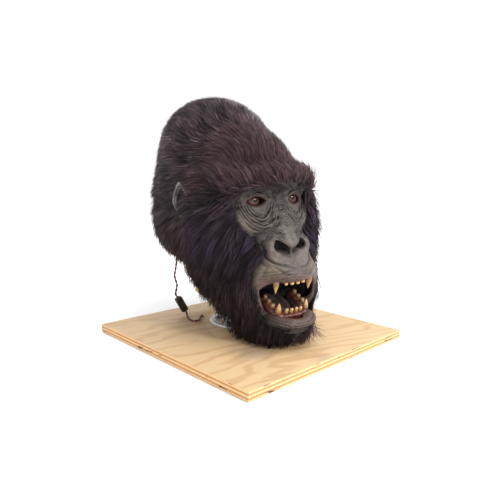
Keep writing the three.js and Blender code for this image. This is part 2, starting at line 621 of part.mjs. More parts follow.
const cordRoom = new THREE.CylinderGeometry(CORD_DIA / 2 + GAP, CORD_DIA / 2 + GAP, 60, 12).rotateX(Math.PI / 2);
cordRoom.translate(cordTop.x, cordTop.y, cordTop.z - 30 + GAP).applyMatrix4(leanBack);
const boardPlane = new THREE.BoxGeometry(2 * REACH, 2 * REACH, REACH).translate(0, 0, boardTop + GAP - REACH / 2);
let hood = coat.subtract(faceRegion(GAP)).subtract(belowHem()).subtract(roomSolid).subtract(toSolid(cordRoom));
hood = hood.subtract(toSolid(boardPlane.applyMatrix4(leanBack))).subtract(gumRoom).subtract(mouthSolid(GAP));

// Ears: open bowls half sunk in the fur
onSides((name, side) => {
  const ellipsoid = (grow, out) => new THREE.SphereGeometry(0.5, 10, 7)
    .scale(EAR_DEPTH + 2 * grow, EAR_WIDTH + 2 * grow, EAR_HEIGHT + 2 * grow)
    .translate(out * side, 0, 0).rotateZ(degrees(side * -24)).rotateX(degrees(-8)).translate(side * EAR.x, EAR.y, EAR.z);
  const outer = toSolid(ellipsoid(0, 0));
  const ear = outer.subtract(toSolid(ellipsoid(-EAR_WALL, 10)));
  hood = hood.subtract(toSolid(ellipsoid(GAP, 0)));
  piece(head, `ear_${name}`, toGeometry(mainBody(ear)), latex);
});
piece(head, 'fur_hood', toGeometry(mainBody(hood)), furBrown);

// Mouth: bag, gums, teeth and tongue
const bag = mouthSolid(BAG_WALL).subtract(mouthSolid(0)).intersect(roomSlack).subtract(gumRoom);
piece(head, 'mouth_lining', toGeometry(mainBody(bag)), bagBlack);
piece(upperSet, 'upper_gum', gum(1, 1), gumResin);
piece(lowerSet, 'lower_gum', gum(LOWER_ARCH, -1), gumResin);
setTeeth(upperSet, UPPER_TEETH, 'upper', -1, 1);
setTeeth(lowerSet, LOWER_TEETH, 'lower', 1, LOWER_ARCH);
const tongue = new THREE.SphereGeometry(0.5, 12, 8).rotateX(Math.PI / 2)
  .scale(TONGUE_WIDTH, TONGUE_LENGTH, TONGUE_THICK).rotateX(degrees(JAW_OPEN * 0.5));
piece(head, 'tongue', tongue, tongueLatex, TONGUE);

// Board with the hole that takes the cable
const hole = CORD_ROUTES.lower.at(-1);
const board = new THREE.BoxGeometry(BOARD_SIDE, BOARD_SIDE, BOARD_THICK).translate(0, 0, BOARD_THICK / 2);
const cableHole = new THREE.CylinderGeometry(CABLE_HOLE_DIA / 2, CABLE_HOLE_DIA / 2, 4 * BOARD_THICK, 20).rotateX(Math.PI / 2)
  .translate(hole.x, hole.y, 0);
const turned = toSolid(board.rotateZ(degrees(BOARD_TURN)));
piece(group, 'base_board', toGeometry(turned.subtract(toSolid(cableHole))), plywood);

// Flange, its screws and the post
const stand = new THREE.Group();
stand.position.set(0, POST_Y, boardTop + GAP);
group.add(stand);
const bore = POST_DIA / 2 + GAP;
const flangeProfile = [
  [bore, 0], [FLANGE_DIA / 2, 0], [FLANGE_DIA / 2, FLANGE_THICK - 1], [FLANGE_DIA / 2 - 1, FLANGE_THICK],
  [SOCKET_DIA / 2 + 3, FLANGE_THICK], [SOCKET_DIA / 2, FLANGE_THICK + 4], [SOCKET_DIA / 2, SOCKET_HEIGHT],
  [bore, SOCKET_HEIGHT], [bore, 0],
].map(([x, y]) => new THREE.Vector2(x, y));
let flange = toSolid(new THREE.LatheGeometry(flangeProfile, 24).rotateX(Math.PI / 2));
const screwProfile = [
  [0, -FLANGE_THICK + 0.5], [SCREW_SHANK_DIA / 2, -FLANGE_THICK + 0.5], [SCREW_SHANK_DIA / 2, 0],
  [SCREW_HEAD_DIA / 2, 0], [SCREW_HEAD_DIA / 2 * 0.85, SCREW_HEAD_HEIGHT * 0.65], [0, SCREW_HEAD_HEIGHT],
].map(([x, y]) => new THREE.Vector2(x, y));
for (let i = 0; i < SCREW_COUNT; i++) {
  const angle = degrees(BOARD_TURN + 45 + i * 360 / SCREW_COUNT);
  const place = new THREE.Vector3(Math.cos(angle), Math.sin(angle), 0).multiplyScalar(SCREW_CIRCLE / 2);
  const drill = new THREE.CylinderGeometry(SCREW_SHANK_DIA / 2 + GAP, SCREW_SHANK_DIA / 2 + GAP, 20, 8);
  flange = flange.subtract(toSolid(drill.rotateX(Math.PI / 2).translate(place.x, place.y, 0)));
  piece(stand, `flange_screw_${i + 1}`, new THREE.LatheGeometry(screwProfile, 10).rotateX(Math.PI / 2), zinc,
    place.setZ(FLANGE_THICK + GAP));
}
piece(stand, 'stand_flange', toGeometry(flange), zinc);

// Wooden block that the crown rests on, rounded to the room's top, with the post below it
const crownTop = inHead(0, 0, 0).z + HEAD_HEIGHT * 0.93;
const blockFoot = crownTop - CROWN_BLOCK_HEIGHT;
const block = new THREE.CylinderGeometry(CROWN_BLOCK_DIA / 2, CROWN_BLOCK_DIA / 2, HEAD_HEIGHT, 28).rotateX(Math.PI / 2)
  .translate(0, POST_Y, blockFoot + HEAD_HEIGHT / 2);
const leanedRoom = roomSlack.transform(leanMatrix.toArray());
piece(group, 'crown_block', toGeometry(toSolid(block).intersect(leanedRoom)), pine);
const postHeight = blockFoot - GAP - boardTop - GAP;
piece(group, 'stand_post', new THREE.CylinderGeometry(POST_DIA / 2, POST_DIA / 2, postHeight, 28).rotateX(Math.PI / 2)
  .translate(0, 0, postHeight / 2), pine, new THREE.Vector3(0, POST_Y, boardTop + GAP));

// Wooden arm round the post, along the board's side, with a wedge at its back end
const armShape = new THREE.Shape([
  new THREE.Vector2(-ARM_WIDTH / 2, -ARM_FRONT), new THREE.Vector2(ARM_WIDTH / 2, -ARM_FRONT),
  new THREE.Vector2(ARM_WIDTH / 2, ARM_BACK - ARM_POINT), new THREE.Vector2(ARM_WIDTH * 0.1, ARM_BACK),
  new THREE.Vector2(-ARM_WIDTH * 0.1, ARM_BACK), new THREE.Vector2(-ARM_WIDTH / 2, ARM_BACK - ARM_POINT),
]);
const collar = new THREE.CylinderGeometry(POST_DIA / 2 + 9, POST_DIA / 2 + 9, ARM_THICK, 28).rotateX(Math.PI / 2)
  .translate(0, 0, ARM_THICK / 2);
const armBore = new THREE.CylinderGeometry(bore, bore, 3 * ARM_THICK, 28).rotateX(Math.PI / 2);
const arm = toSolid(new THREE.ExtrudeGeometry(armShape, { depth: ARM_THICK, bevelEnabled: false }))
  .add(toSolid(collar)).subtract(toSolid(armBore));
const armMesh = piece(group, 'neck_arm', toGeometry(arm), pine, new THREE.Vector3(0, POST_Y, boardTop + ARM_HEIGHT));
armMesh.rotation.z = degrees(BOARD_TURN);

// Cable: down from the hood to its connector, and on across the board into the hole
const plugLength = CONNECTOR_TOP.distanceTo(CONNECTOR_LOW);
const plugAxis = CONNECTOR_TOP.clone().sub(CONNECTOR_LOW).normalize();
const offPlug = (end, distance) => end.clone().addScaledVector(plugAxis, distance);
const upperPath = cordPath([
  cordTop, CORD_START, ...CORD_ROUTES.upper, offPlug(CONNECTOR_TOP, 2 * CORD_DIA), offPlug(CONNECTOR_TOP, GAP)]);
const lowerPath = cordPath([offPlug(CONNECTOR_LOW, -GAP), offPlug(CONNECTOR_LOW, -CORD_DIA), ...CORD_ROUTES.lower]);
piece(group, 'cable_upper', cordTube(upperPath, CORD_DIA / 2, 12), wire);
piece(group, 'cable_lower', cordTube(lowerPath, CORD_DIA / 2, 20), wire);
const plugHalf = [[1, 0.62], [0.62, 1]].map(([x, y]) => [x * CONNECTOR_WIDTH / 2, y * CONNECTOR_DEPTH / 2]);
const plugOutline = [
  ...plugHalf, ...plugHalf.map(([x, y]) => [-x, y]).reverse(), ...plugHalf.map(([x, y]) => [-x, -y]),
  ...plugHalf.map(([x, y]) => [x, -y]).reverse(),
].map(([x, y]) => new THREE.Vector2(x, y));
const plug = piece(group, 'cable_connector', new THREE.ExtrudeGeometry(new THREE.Shape(plugOutline), {
  depth: plugLength - 3, bevelThickness: 1.5, bevelSize: 1.5, bevelOffset: -1.5, bevelSegments: 1,
}).translate(0, 0, 1.5), connectorBlack, CONNECTOR_LOW);
plug.quaternion.setFromUnitVectors(new THREE.Vector3(0, 0, 1), plugAxis);

export default group;
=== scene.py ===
"""Gorilla mask on its plywood display stand: latex face, eyes, teeth, long fur, post and cable."""

import math

import bpy
import numpy as np
from mathutils import Matrix, Vector, kdtree


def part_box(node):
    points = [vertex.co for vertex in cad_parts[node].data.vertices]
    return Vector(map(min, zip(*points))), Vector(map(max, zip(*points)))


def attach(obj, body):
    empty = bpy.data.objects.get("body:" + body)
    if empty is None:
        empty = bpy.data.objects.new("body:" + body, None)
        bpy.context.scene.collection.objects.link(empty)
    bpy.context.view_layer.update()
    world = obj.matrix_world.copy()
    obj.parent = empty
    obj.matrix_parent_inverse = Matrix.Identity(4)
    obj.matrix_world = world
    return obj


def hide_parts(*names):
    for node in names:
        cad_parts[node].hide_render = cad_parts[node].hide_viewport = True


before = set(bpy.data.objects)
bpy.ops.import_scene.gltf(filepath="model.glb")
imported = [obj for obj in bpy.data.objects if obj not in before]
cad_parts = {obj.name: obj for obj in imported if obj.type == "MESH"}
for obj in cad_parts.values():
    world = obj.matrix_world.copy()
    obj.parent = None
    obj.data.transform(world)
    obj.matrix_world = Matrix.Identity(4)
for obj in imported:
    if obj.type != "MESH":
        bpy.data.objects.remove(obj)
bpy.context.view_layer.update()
MM = 0.001
bpy.ops.object.select_all(action="DESELECT")


# Camera
# It stands to the mask's right and a little above the chin, turned a degree as a hand-held camera would be.
# Its place and lens follow from the board's corners and the face's landmarks.
CAMERA_PLACE = Vector((-371.7, -648.9, 247.1)) * MM
CAMERA_LOOK = Vector((0.4883, 0.8606, -0.1447))
CAMERA_ROLL = math.radians(1.0)
CAMERA_LENS = 34.6
SENSOR_WIDTH = 36
camera = bpy.data.objects.new("camera", bpy.data.cameras.new("camera"))
bpy.context.scene.collection.objects.link(camera)
camera.data.sensor_width = SENSOR_WIDTH
camera.data.lens = CAMERA_LENS
camera.data.clip_start = 0.01
camera.matrix_world = (
    Matrix.Translation(CAMERA_PLACE)
    @ CAMERA_LOOK.to_track_quat("-Z", "Y").to_matrix().to_4x4()
    @ Matrix.Rotation(CAMERA_ROLL, 4, "Z")
)
bpy.context.scene.camera = camera


# Finishes and meshes
# Amount is a number that changes over a surface. Finish is a material whose nodes come from sums of amounts.
# The functions after them make meshes, dress them and join them to the object.
class Amount:
    def __init__(self, finish, socket):
        self.finish = finish
        self.socket = socket

    def maths(self, operation, *values):
        sockets = dict(enumerate(values))
        return self.finish.node("ShaderNodeMath", {"operation": operation}, sockets)

    def __add__(self, other):
        return self.maths("ADD", self, other)

    def __sub__(self, other):
        return self.maths("SUBTRACT", self, other)

    def __rsub__(self, other):
        return self.maths("SUBTRACT", other, self)

    def __mul__(self, other):
        return self.maths("MULTIPLY", self, other)

    def __pow__(self, other):
        return self.maths("POWER", self, other)

    def between(self, low, high):
        """0 below low, 1 above high, smooth between."""
        settings = {"interpolation_type": "SMOOTHSTEP"}
        return self.finish.node("ShaderNodeMapRange", settings, {0: self, 1: low, 2: high})

    __radd__ = __add__
    __rmul__ = __mul__


class Finish:
    def __init__(self, name, **constants):
        self.material = bpy.data.materials.new(name)
        self.material.use_nodes = True
        self.tree = self.material.node_tree
        self.shader = self.tree.nodes["Principled BSDF"]
        self.surface({key.replace("_", " "): value for key, value in constants.items()})

    def feed(self, socket, value):
        if isinstance(value, Amount):
            self.tree.links.new(value.socket, socket)
        elif socket.type == "RGBA" and len(value) == 3:
            socket.default_value = (*value, 1)
        else:
            socket.default_value = value

    def node(self, kind, settings=None, sockets=None, output=0):
        made = self.tree.nodes.new(kind)
        for key, value in (settings or {}).items():
            setattr(made, key, value)
        for key, value in (sockets or {}).items():
            self.feed(made.inputs[key], value)
        return Amount(self, made.outputs[output])

    def surface(self, sockets):
        for key, value in sockets.items():
            self.feed(self.shader.inputs[key], value)

    def place(self, scale=(1, 1, 1), turn=0.0, centre=(0, 0, 0)):
        """Object coordinates, turned about z and centred, then stretched."""
        at = self.node("ShaderNodeTexCoord", output=3)
        moved = self.node("ShaderNodeVectorMath", {"operation": "SUBTRACT"}, {0: at, 1: centre})
        return self.node("ShaderNodeMapping", None, {0: moved, 2: (0, 0, turn), 3: scale})

    def noise(self, place, scale, detail=4.0, roughness=0.55, distortion=0.0):
        return self.node("ShaderNodeTexNoise", None, {
            "Vector": place, "Scale": scale, "Detail": detail, "Roughness": roughness,
            "Distortion": distortion})

    def cells(self, place, scale, feature="F1"):
        return self.node("ShaderNodeTexVoronoi", {"feature": feature}, {"Vector": place, "Scale": scale})

    def mix(self, share, low, high):
        return self.node("ShaderNodeMix", {"data_type": "RGBA"}, {0: share, 6: low, 7: high}, 2)

    def parts(self, place):
        made = self.tree.nodes.new("ShaderNodeSeparateXYZ")
        self.feed(made.inputs[0], place)
        return [Amount(self, socket) for socket in made.outputs]

    def length(self, place):
        made = self.tree.nodes.new("ShaderNodeVectorMath")
        made.operation = "LENGTH"
        self.feed(made.inputs[0], place)
        return Amount(self, made.outputs["Value"])

    def carried(self, name, output=2):
        """A number that the mesh carries in its points, or with output 0 a colour."""
        return self.node("ShaderNodeAttribute", {"attribute_name": name}, None, output)

    def stained(self, colour, stain, centre, low, high, ragged, deep):
        """A colour with a round stain on it, whole within low and gone beyond high, with a ragged edge."""
        far = self.length(self.place(centre=centre)) + ragged
        return self.mix((1 - far.between(low, high)) * deep, colour, stain)

    def bump(self, height, distance, strength=1.0):
        sockets = {"Strength": strength, "Distance": distance, "Height": height}
        self.surface({"Normal": self.node("ShaderNodeBump", None, sockets)})


def two_tone(name, scale, low, high, first, second, **constants):
    """A finish whose colour wanders between two tones."""
    finish = Finish(name, **constants)
    share = finish.noise(finish.place(), scale).between(low, high)
    finish.surface({"Base Color": finish.mix(share, first, second)})
    return finish


def belongs(piece, slot, *finishes, replaces=()):
    """Dresses a piece, joins it to the object and hides the solids it stands for."""
    piece.data.materials.clear()
    for finish in finishes:
        piece.data.materials.append(finish.material)
    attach(piece, "root")
    if replaces:
        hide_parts(*replaces)


def alone(piece):
    bpy.ops.object.select_all(action="DESELECT")
    piece.select_set(True)
    bpy.context.view_layer.objects.active = piece


def from_points(name, points, faces):
    """A new mesh object from points in metres and faces as rows of indices."""
    mesh = bpy.data.meshes.new(name)
    faces = np.asarray(faces, np.int32)
    corners = faces.shape[1]
    mesh.vertices.add(len(points))
    mesh.vertices.foreach_set("co", np.asarray(points, np.float32).ravel())
    mesh.loops.add(faces.size)
    mesh.loops.foreach_set("vertex_index", faces.ravel())
    mesh.polygons.add(len(faces))
    mesh.polygons.foreach_set("loop_start", np.arange(0, faces.size, corners, dtype=np.int32))
    mesh.update(calc_edges=True)
    mesh.shade_smooth()
    piece = bpy.data.objects.new(name, mesh)
    bpy.context.scene.collection.objects.link(piece)
    return piece


def carry(piece, name, values):
    """Stores a number, or a colour, in each of a piece's points."""
    values = np.asarray(values, np.float32)
    if values.ndim == 1:
        attribute = piece.data.attributes.new(name, "FLOAT", "POINT")
        attribute.data.foreach_set("value", values)
    else:
        attribute = piece.data.attributes.new(name, "FLOAT_COLOR", "POINT")
        opaque = np.column_stack([values, np.ones(len(values))]).astype(np.float32)
        attribute.data.foreach_set("color", opaque.ravel())


def points_of(piece):
    return np.array([vertex.co for vertex in piece.data.vertices])


def move_points(piece, points):
    piece.data.vertices.foreach_set("co", points.astype(np.float32).ravel())
    piece.data.update()
    piece.data.shade_smooth()


SAME_POINT = 0.02 * MM


def copy_of_node(node, name):
    """The solid's shape as a new piece, with its loose triangles joined."""
    piece = bpy.data.objects.new(name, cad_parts[node].data.copy())
    bpy.context.scene.collection.objects.link(piece)
    alone(piece)
    bpy.ops.object.mode_set(mode="EDIT")
    bpy.ops.mesh.select_all(action="SELECT")
    bpy.ops.mesh.remove_doubles(threshold=SAME_POINT)
    bpy.ops.object.mode_set(mode="OBJECT")
    return piece


def modifier(piece, kind, **settings):
    alone(piece)
    made = piece.modifiers.new(kind.lower(), kind)
    for key, value in settings.items():
        setattr(made, key, value)
    bpy.ops.object.modifier_apply(modifier=made.name)


SOFTENED_ANGLE = math.radians(30)
SHARP_ANGLE = math.radians(35)


def shade(piece):
    """Smooth shading that keeps the sharp edges."""
    alone(piece)
    bpy.ops.object.shade_smooth_by_angle(angle=SHARP_ANGLE)


def soften_edges(piece, width, segments=3):
    modifier(piece, "BEVEL", width=width, segments=segments, limit_method="ANGLE", angle_limit=SOFTENED_ANGLE)
    shade(piece)


# Cable
# A thin red and a thin black wire are twisted into a pair. It hangs from the hood to a moulded connector near
# the board, then lies on the board in a loose curve and goes down a hole in it.
CORD_DIA = 3.8 * MM
WIRE_TWIST = 15 * MM
CONNECTOR_TOP = np.array((-84.6, 103.0, 47.0))
CONNECTOR_LOW = np.array((-70.0, 105.0, 22.0))
SEAT = 0.3
STRAIGHT_ABOVE, STRAIGHT_BELOW = 7.6, 3.8
CONNECTOR_EDGE = 1.2 * MM
connector_axis = (CONNECTOR_TOP - CONNECTOR_LOW) / np.linalg.norm(CONNECTOR_TOP - CONNECTOR_LOW)
UPPER_ROUTE = [
    (-85, 106, 125), (-85, 106, 116), (-86, 107, 100), (-88, 108, 84), (-85, 105, 68),
    tuple(CONNECTOR_TOP + connector_axis * STRAIGHT_ABOVE), tuple(CONNECTOR_TOP + connector_axis * SEAT),
]
LOWER_ROUTE = [
    tuple(CONNECTOR_LOW - connector_axis * SEAT), tuple(CONNECTOR_LOW - connector_axis * STRAIGHT_BELOW),
    (-67.8, 102, 16.2), (-71.5, 91, 15.2), (-74.5, 75, 15.2), (-71, 62, 15.2), (-64, 61.5, 15.2),
    (-57.5, 70, 15.6), (-51.5, 80, 16.4), (-46.5, 87, 15), (-45, 89, 9.5), (-45, 89, 3),
]


def smooth_line(points, steps):
    """A smooth curve through points, with so many steps from each to the next."""
    points = np.asarray(points, float)
    ends = np.vstack([2 * points[0] - points[1], points, 2 * points[-1] - points[-2]])
    knots = np.concatenate([[0], np.cumsum(np.sqrt(np.linalg.norm(np.diff(ends, axis=0), axis=1)))])
    line = []
    for i in range(len(points) - 1):
        a, b, c, d = ends[i:i + 4]
        ka, kb, kc, kd = knots[i:i + 4]
        for t in np.linspace(kb, kc, steps, endpoint=False):
            ab = a + (b - a) * (t - ka) / (kb - ka)
            bc = b + (c - b) * (t - kb) / (kc - kb)
            cd = c + (d - c) * (t - kc) / (kd - kc)
            abc = ab + (bc - ab) * (t - ka) / (kc - ka)
            bcd = bc + (cd - bc) * (t - kb) / (kd - kb)
            line.append(abc + (bcd - abc) * (t - kb) / (kc - kb))
    return np.array(line + [points[-1]])


def tube(line, radius, sides=10):
    """Points and faces of a closed round tube along a line, and where its sides point."""
    along = np.gradient(line, axis=0)
    along /= np.linalg.norm(along, axis=1)[:, None]
    side = np.cross(along[0], (0.3, 0.2, 0.9))
    sideways = []
    for direction in along:
        side = side - direction * (side @ direction)
        side = side / np.linalg.norm(side)
        sideways.append(side)
    sideways = np.array(sideways)
    upward = np.cross(along, sideways)
    angles = np.arange(sides) * 2 * math.pi / sides
    cosines, sines = np.cos(angles)[None, :, None], np.sin(angles)[None, :, None]
    ring = sideways[:, None] * cosines + upward[:, None] * sines
    points = (line[:, None] + ring * radius).reshape(-1, 3)
    faces = []
    for i in range(len(line) - 1):
        for k in range(sides):
            a = i * sides + k
            b = i * sides + (k + 1) % sides
            faces.append((a, b, b + sides, a + sides))
    last = len(points)
    points = np.vstack([points, line[0], line[-1]])
    for k in range(sides):
        following = (k + 1) % sides
        faces.append((following, k, last, last))
        faces.append((last - sides + k, last - sides + following, last + 1, last + 1))
    return points, faces, sideways, upward


def triangles(faces):
    """Faces of four corners as triangles, without the ones that have no area."""
    faces = np.asarray(faces)
    both = np.vstack([faces[:, [0, 1, 2]], faces[:, [0, 2, 3]]])
    return both[(both[:, 0] != both[:, 1]) & (both[:, 1] != both[:, 2]) & (both[:, 0] != both[:, 2])]


red_wire = two_tone("red_wire", 180, 0.35, 0.7, (0.16, 0.022, 0.016), (0.30, 0.05, 0.03), Roughness=0.42)
black_wire = two_tone(
    "black_wire", 180, 0.35, 0.7, (0.012, 0.011, 0.012), (0.04, 0.035, 0.035), Roughness=0.45)
WIRE_SLACK = 0.98


def twisted_pair(name, node, route):
    line = smooth_line(route, 6) * MM
    fine = smooth_line(line, 4)
    passed = np.concatenate([[0], np.cumsum(np.linalg.norm(np.diff(fine, axis=0), axis=1))])
    _, _, sideways, upward = tube(fine, CORD_DIA / 2)
    turn = passed / WIRE_TWIST * 2 * math.pi
    points, faces, wires = [], [], []
    for half in (0, math.pi):
        aside = sideways * np.cos(turn + half)[:, None] + upward * np.sin(turn + half)[:, None]
        wire_points, wire_faces, _, _ = tube(fine + aside * CORD_DIA / 4, CORD_DIA / 4 * WIRE_SLACK)
        wire_faces = triangles(wire_faces) + sum(len(p) for p in points)
        points.append(wire_points)
        faces.append(wire_faces)
        wires += [int(half > 0)] * len(wire_faces)
    piece = from_points(name, np.vstack(points), np.vstack(faces))
    belongs(piece, "wire", red_wire, black_wire, replaces=[node])
    piece.data.polygons.foreach_set("material_index", np.array(wires, np.int32))


# Connector: two moulded black halves with a seam between them and grip ribs
connector_black = two_tone(
    "connector_black", 260, 0.4, 0.8, (0.010, 0.010, 0.011), (0.03, 0.03, 0.032), Roughness=0.42)
connector_black.bump(connector_black.noise(connector_black.place(), 1500), 0.00008)
connector = copy_of_node("cable_connector", "connector_body")
soften_edges(connector, CONNECTOR_EDGE)
belongs(connector, "connector", connector_black, replaces=["cable_connector"])
twisted_pair("cable_from_hood", "cable_upper", UPPER_ROUTE)
twisted_pair("cable_to_board", "cable_lower", LOWER_ROUTE)


# Board
# A square of half-inch softwood plywood, sawn and lightly sanded, with the cable's hole drilled through it.
# Its grain runs along one pair of sides, and the plies and a few voids show on its edges.
BOARD_SIDE = 340 * MM
BOARD_THICK = 12.7 * MM
BOARD_TURN = math.radians(15)
HOLE_PLACE = (-45 * MM, 89 * MM)
HOLE_DIA = 9 * MM
PLIES = 5
SAWN_EDGE = 0.5 * MM
GRIME = (0.17, 0.13, 0.10)
GRIME_SPOTS = [  # place, reach and strength, under the chin and round the cable's hole
    ((-0.052, -0.098, 0.0127), 0.05, 0.55), ((0.02, -0.165, 0.0127), 0.03, 0.3),
    ((-0.045, 0.089, 0.0127), 0.016, 0.6),
]

board_face = Finish("plywood_face", Roughness=0.62)
at = board_face.place(turn=-BOARD_TURN)
across, along_grain, _ = board_face.parts(at)
drift = board_face.noise(board_face.place(scale=(2.2, 9, 9), turn=-BOARD_TURN), 1.0, 3)
ring_number = along_grain * 150 + drift * 62 + across * 5 + board_face.noise(at, 60, 3) * 1.6
rings = ring_number.maths("SINE", ring_number)
fibres = board_face.noise(board_face.place(scale=(14, 420, 300), turn=-BOARD_TURN), 1.0, 6, 0.7)
blotch = board_face.noise(board_face.place(scale=(3, 7, 5), turn=-BOARD_TURN), 1.6, 3)
wood = board_face.mix(rings.between(0.0, 1.0) * 0.65, (0.53, 0.362, 0.193), (0.39, 0.22, 0.09))
wood = board_face.mix(fibres.between(0.3, 0.75) * 0.4, wood, (0.62, 0.45, 0.26))
wood = board_face.mix(blotch.between(0.45, 0.75) * 0.35, wood, (0.46, 0.29, 0.14))
ragged = board_face.noise(board_face.place(), 38, 5) * 0.03
for centre, reach, deep in GRIME_SPOTS:
    wood = board_face.stained(wood, GRIME, centre, reach * 0.4, reach + 0.012, ragged, deep)
board_face.surface({"Base Color": wood, "Roughness": 0.5 + fibres * 0.25})
board_face.bump(fibres + rings * 0.15, 0.00035, 0.6)

board_edge = Finish("plywood_edge", Roughness=0.75)
_, _, up = board_edge.parts(board_edge.place())
ply = up.maths("FRACT", up * (PLIES / BOARD_THICK) * 0.5)
end_grain = board_edge.noise(board_edge.place(scale=(400, 400, 160)), 1.0, 4, 0.7)
voids = board_edge.noise(board_edge.place(scale=(42, 42, 260)), 1.0, 2)
edge = board_edge.mix(ply.between(0.44, 0.56), (0.82, 0.52, 0.25), (0.47, 0.24, 0.095))
edge = board_edge.mix(end_grain.between(0.4, 0.75) * 0.45, edge, (0.36, 0.19, 0.085))
# the voids are painted near black as the shade inside them
edge = board_edge.mix(voids.between(0.63, 0.7), edge, (0.035, 0.02, 0.012))
board_edge.surface({"Base Color": edge})
board_edge.bump(end_grain - voids.between(0.6, 0.72) * 2, 0.0005, 0.7)

bpy.ops.mesh.primitive_cylinder_add(vertices=48, radius=HOLE_DIA / 2, depth=0.1, location=(*HOLE_PLACE, 0))
drill = bpy.context.object
bpy.ops.mesh.primitive_cube_add(size=1, location=(0, 0, BOARD_THICK / 2), rotation=(0, 0, BOARD_TURN))
board = bpy.context.object
board.name = "plywood_board"
board.scale = (BOARD_SIDE, BOARD_SIDE, BOARD_THICK)
bpy.ops.object.transform_apply(location=True, rotation=True, scale=True)
modifier(board, "BOOLEAN", object=drill, operation="DIFFERENCE", solver="EXACT")
bpy.data.objects.remove(drill)
soften_edges(board, SAWN_EDGE, 2)
belongs(board, "plywood", board_face, board_edge, replaces=["base_board"])
for polygon in board.data.polygons:
    polygon.material_index = int(abs(polygon.normal.z) < 0.5)


# Flange, screws and post
# A galvanised steel floor flange is screwed to the board with four pan-head screws, and a round wooden post
# stands in its socket. Both are bare, and the zinc is spangled and a little dull.
POST_PLACE = (0, 37 * MM)
FLANGE_DIA = 100 * MM
FLANGE_THICK = 4 * MM
SOCKET_DIA = 46 * MM
SOCKET_HEIGHT = 22 * MM
POST_DIA = 33.4 * MM
SCREW_CIRCLE = FLANGE_DIA - 26 * MM
SCREW_HEAD = (9 * MM, 2.6 * MM)
GAP = 0.3 * MM
ROUND = 1 * MM
POST_EDGE = 0.6 * MM
BLOCK_EDGE = 0.8 * MM
stand_foot = BOARD_THICK + GAP


def turned(name, profile, place, steps=96):
    """A closed form turned about a vertical axis, from a profile of radii and heights."""
    mesh = bpy.data.meshes.new(name)
    mesh.from_pydata([(r, 0, z) for r, z in profile], [(i, i + 1) for i in range(len(profile) - 1)], [])
    piece = bpy.data.objects.new(name, mesh)
    bpy.context.scene.collection.objects.link(piece)
    alone(piece)
    bpy.ops.object.mode_set(mode="EDIT")
    bpy.ops.mesh.select_all(action="SELECT")
    bpy.ops.mesh.spin(steps=steps, angle=2 * math.pi, center=(0, 0, 0), axis=(0, 0, 1))
    bpy.ops.mesh.select_all(action="SELECT")
    bpy.ops.mesh.remove_doubles(threshold=SAME_POINT / 2)
    bpy.ops.mesh.normals_make_consistent(inside=False)
    bpy.ops.object.mode_set(mode="OBJECT")
    mesh.transform(Matrix.Translation(place))
    return piece


zinc = Finish("galvanised_steel", Metallic=0.85)
spangle = zinc.cells(zinc.place(), 130)
dulled = zinc.noise(zinc.place(), 45, 5)
zinc_share = spangle.between(0.1, 0.8) * 0.6 + dulled * 0.3
zinc.surface({
    "Base Color": zinc.mix(zinc_share, (0.52, 0.54, 0.57), (0.72, 0.75, 0.79)),
    "Roughness": 0.28 + dulled * 0.3,
})
zinc.bump(spangle * 0.4 + zinc.noise(zinc.place(), 700) * 0.3, 0.0002, 0.5)
bore, rim, socket = POST_DIA / 2 + GAP, FLANGE_DIA / 2, SOCKET_DIA / 2
flange = turned("floor_flange", [
    (bore, 0), (rim, 0), (rim, FLANGE_THICK - ROUND), (rim - ROUND, FLANGE_THICK),
    (socket + 4 * ROUND, FLANGE_THICK), (socket + ROUND, FLANGE_THICK + 1.5 * ROUND),
    (socket, FLANGE_THICK + 4 * ROUND), (socket, SOCKET_HEIGHT - ROUND),
    (socket - ROUND, SOCKET_HEIGHT), (bore, SOCKET_HEIGHT), (bore, 0),
], (*POST_PLACE, stand_foot))
soften_edges(flange, 0.4 * ROUND, 2)
belongs(flange, "zinc", zinc, replaces=["stand_flange"])

screw_dark = two_tone(
    "screw_steel", 300, 0.4, 0.7, (0.10, 0.095, 0.09), (0.24, 0.23, 0.22), Metallic=0.8, Roughness=0.42)
SCREW_PROFILE = [  # shares of the head's radius and height, with the recess in its middle
    (0, 0), (1, 0), (1, 0.35), (0.86, 0.75), (0.5, 1), (0.16, 1), (0.12, 0.45), (0, 0.4),
]
screw_profile = [(r * SCREW_HEAD[0] / 2, z * SCREW_HEAD[1]) for r, z in SCREW_PROFILE]
for i in range(4):
    angle = BOARD_TURN + math.radians(45 + 90 * i)
    place = Vector((math.cos(angle) * SCREW_CIRCLE / 2, POST_PLACE[1] + math.sin(angle) * SCREW_CIRCLE / 2,
                    stand_foot + FLANGE_THICK + GAP))
    screw = turned(f"pan_head_screw_{i + 1}", screw_profile, place, 32)
    shade(screw)
    belongs(screw, "zinc", screw_dark, replaces=[f"flange_screw_{i + 1}"])

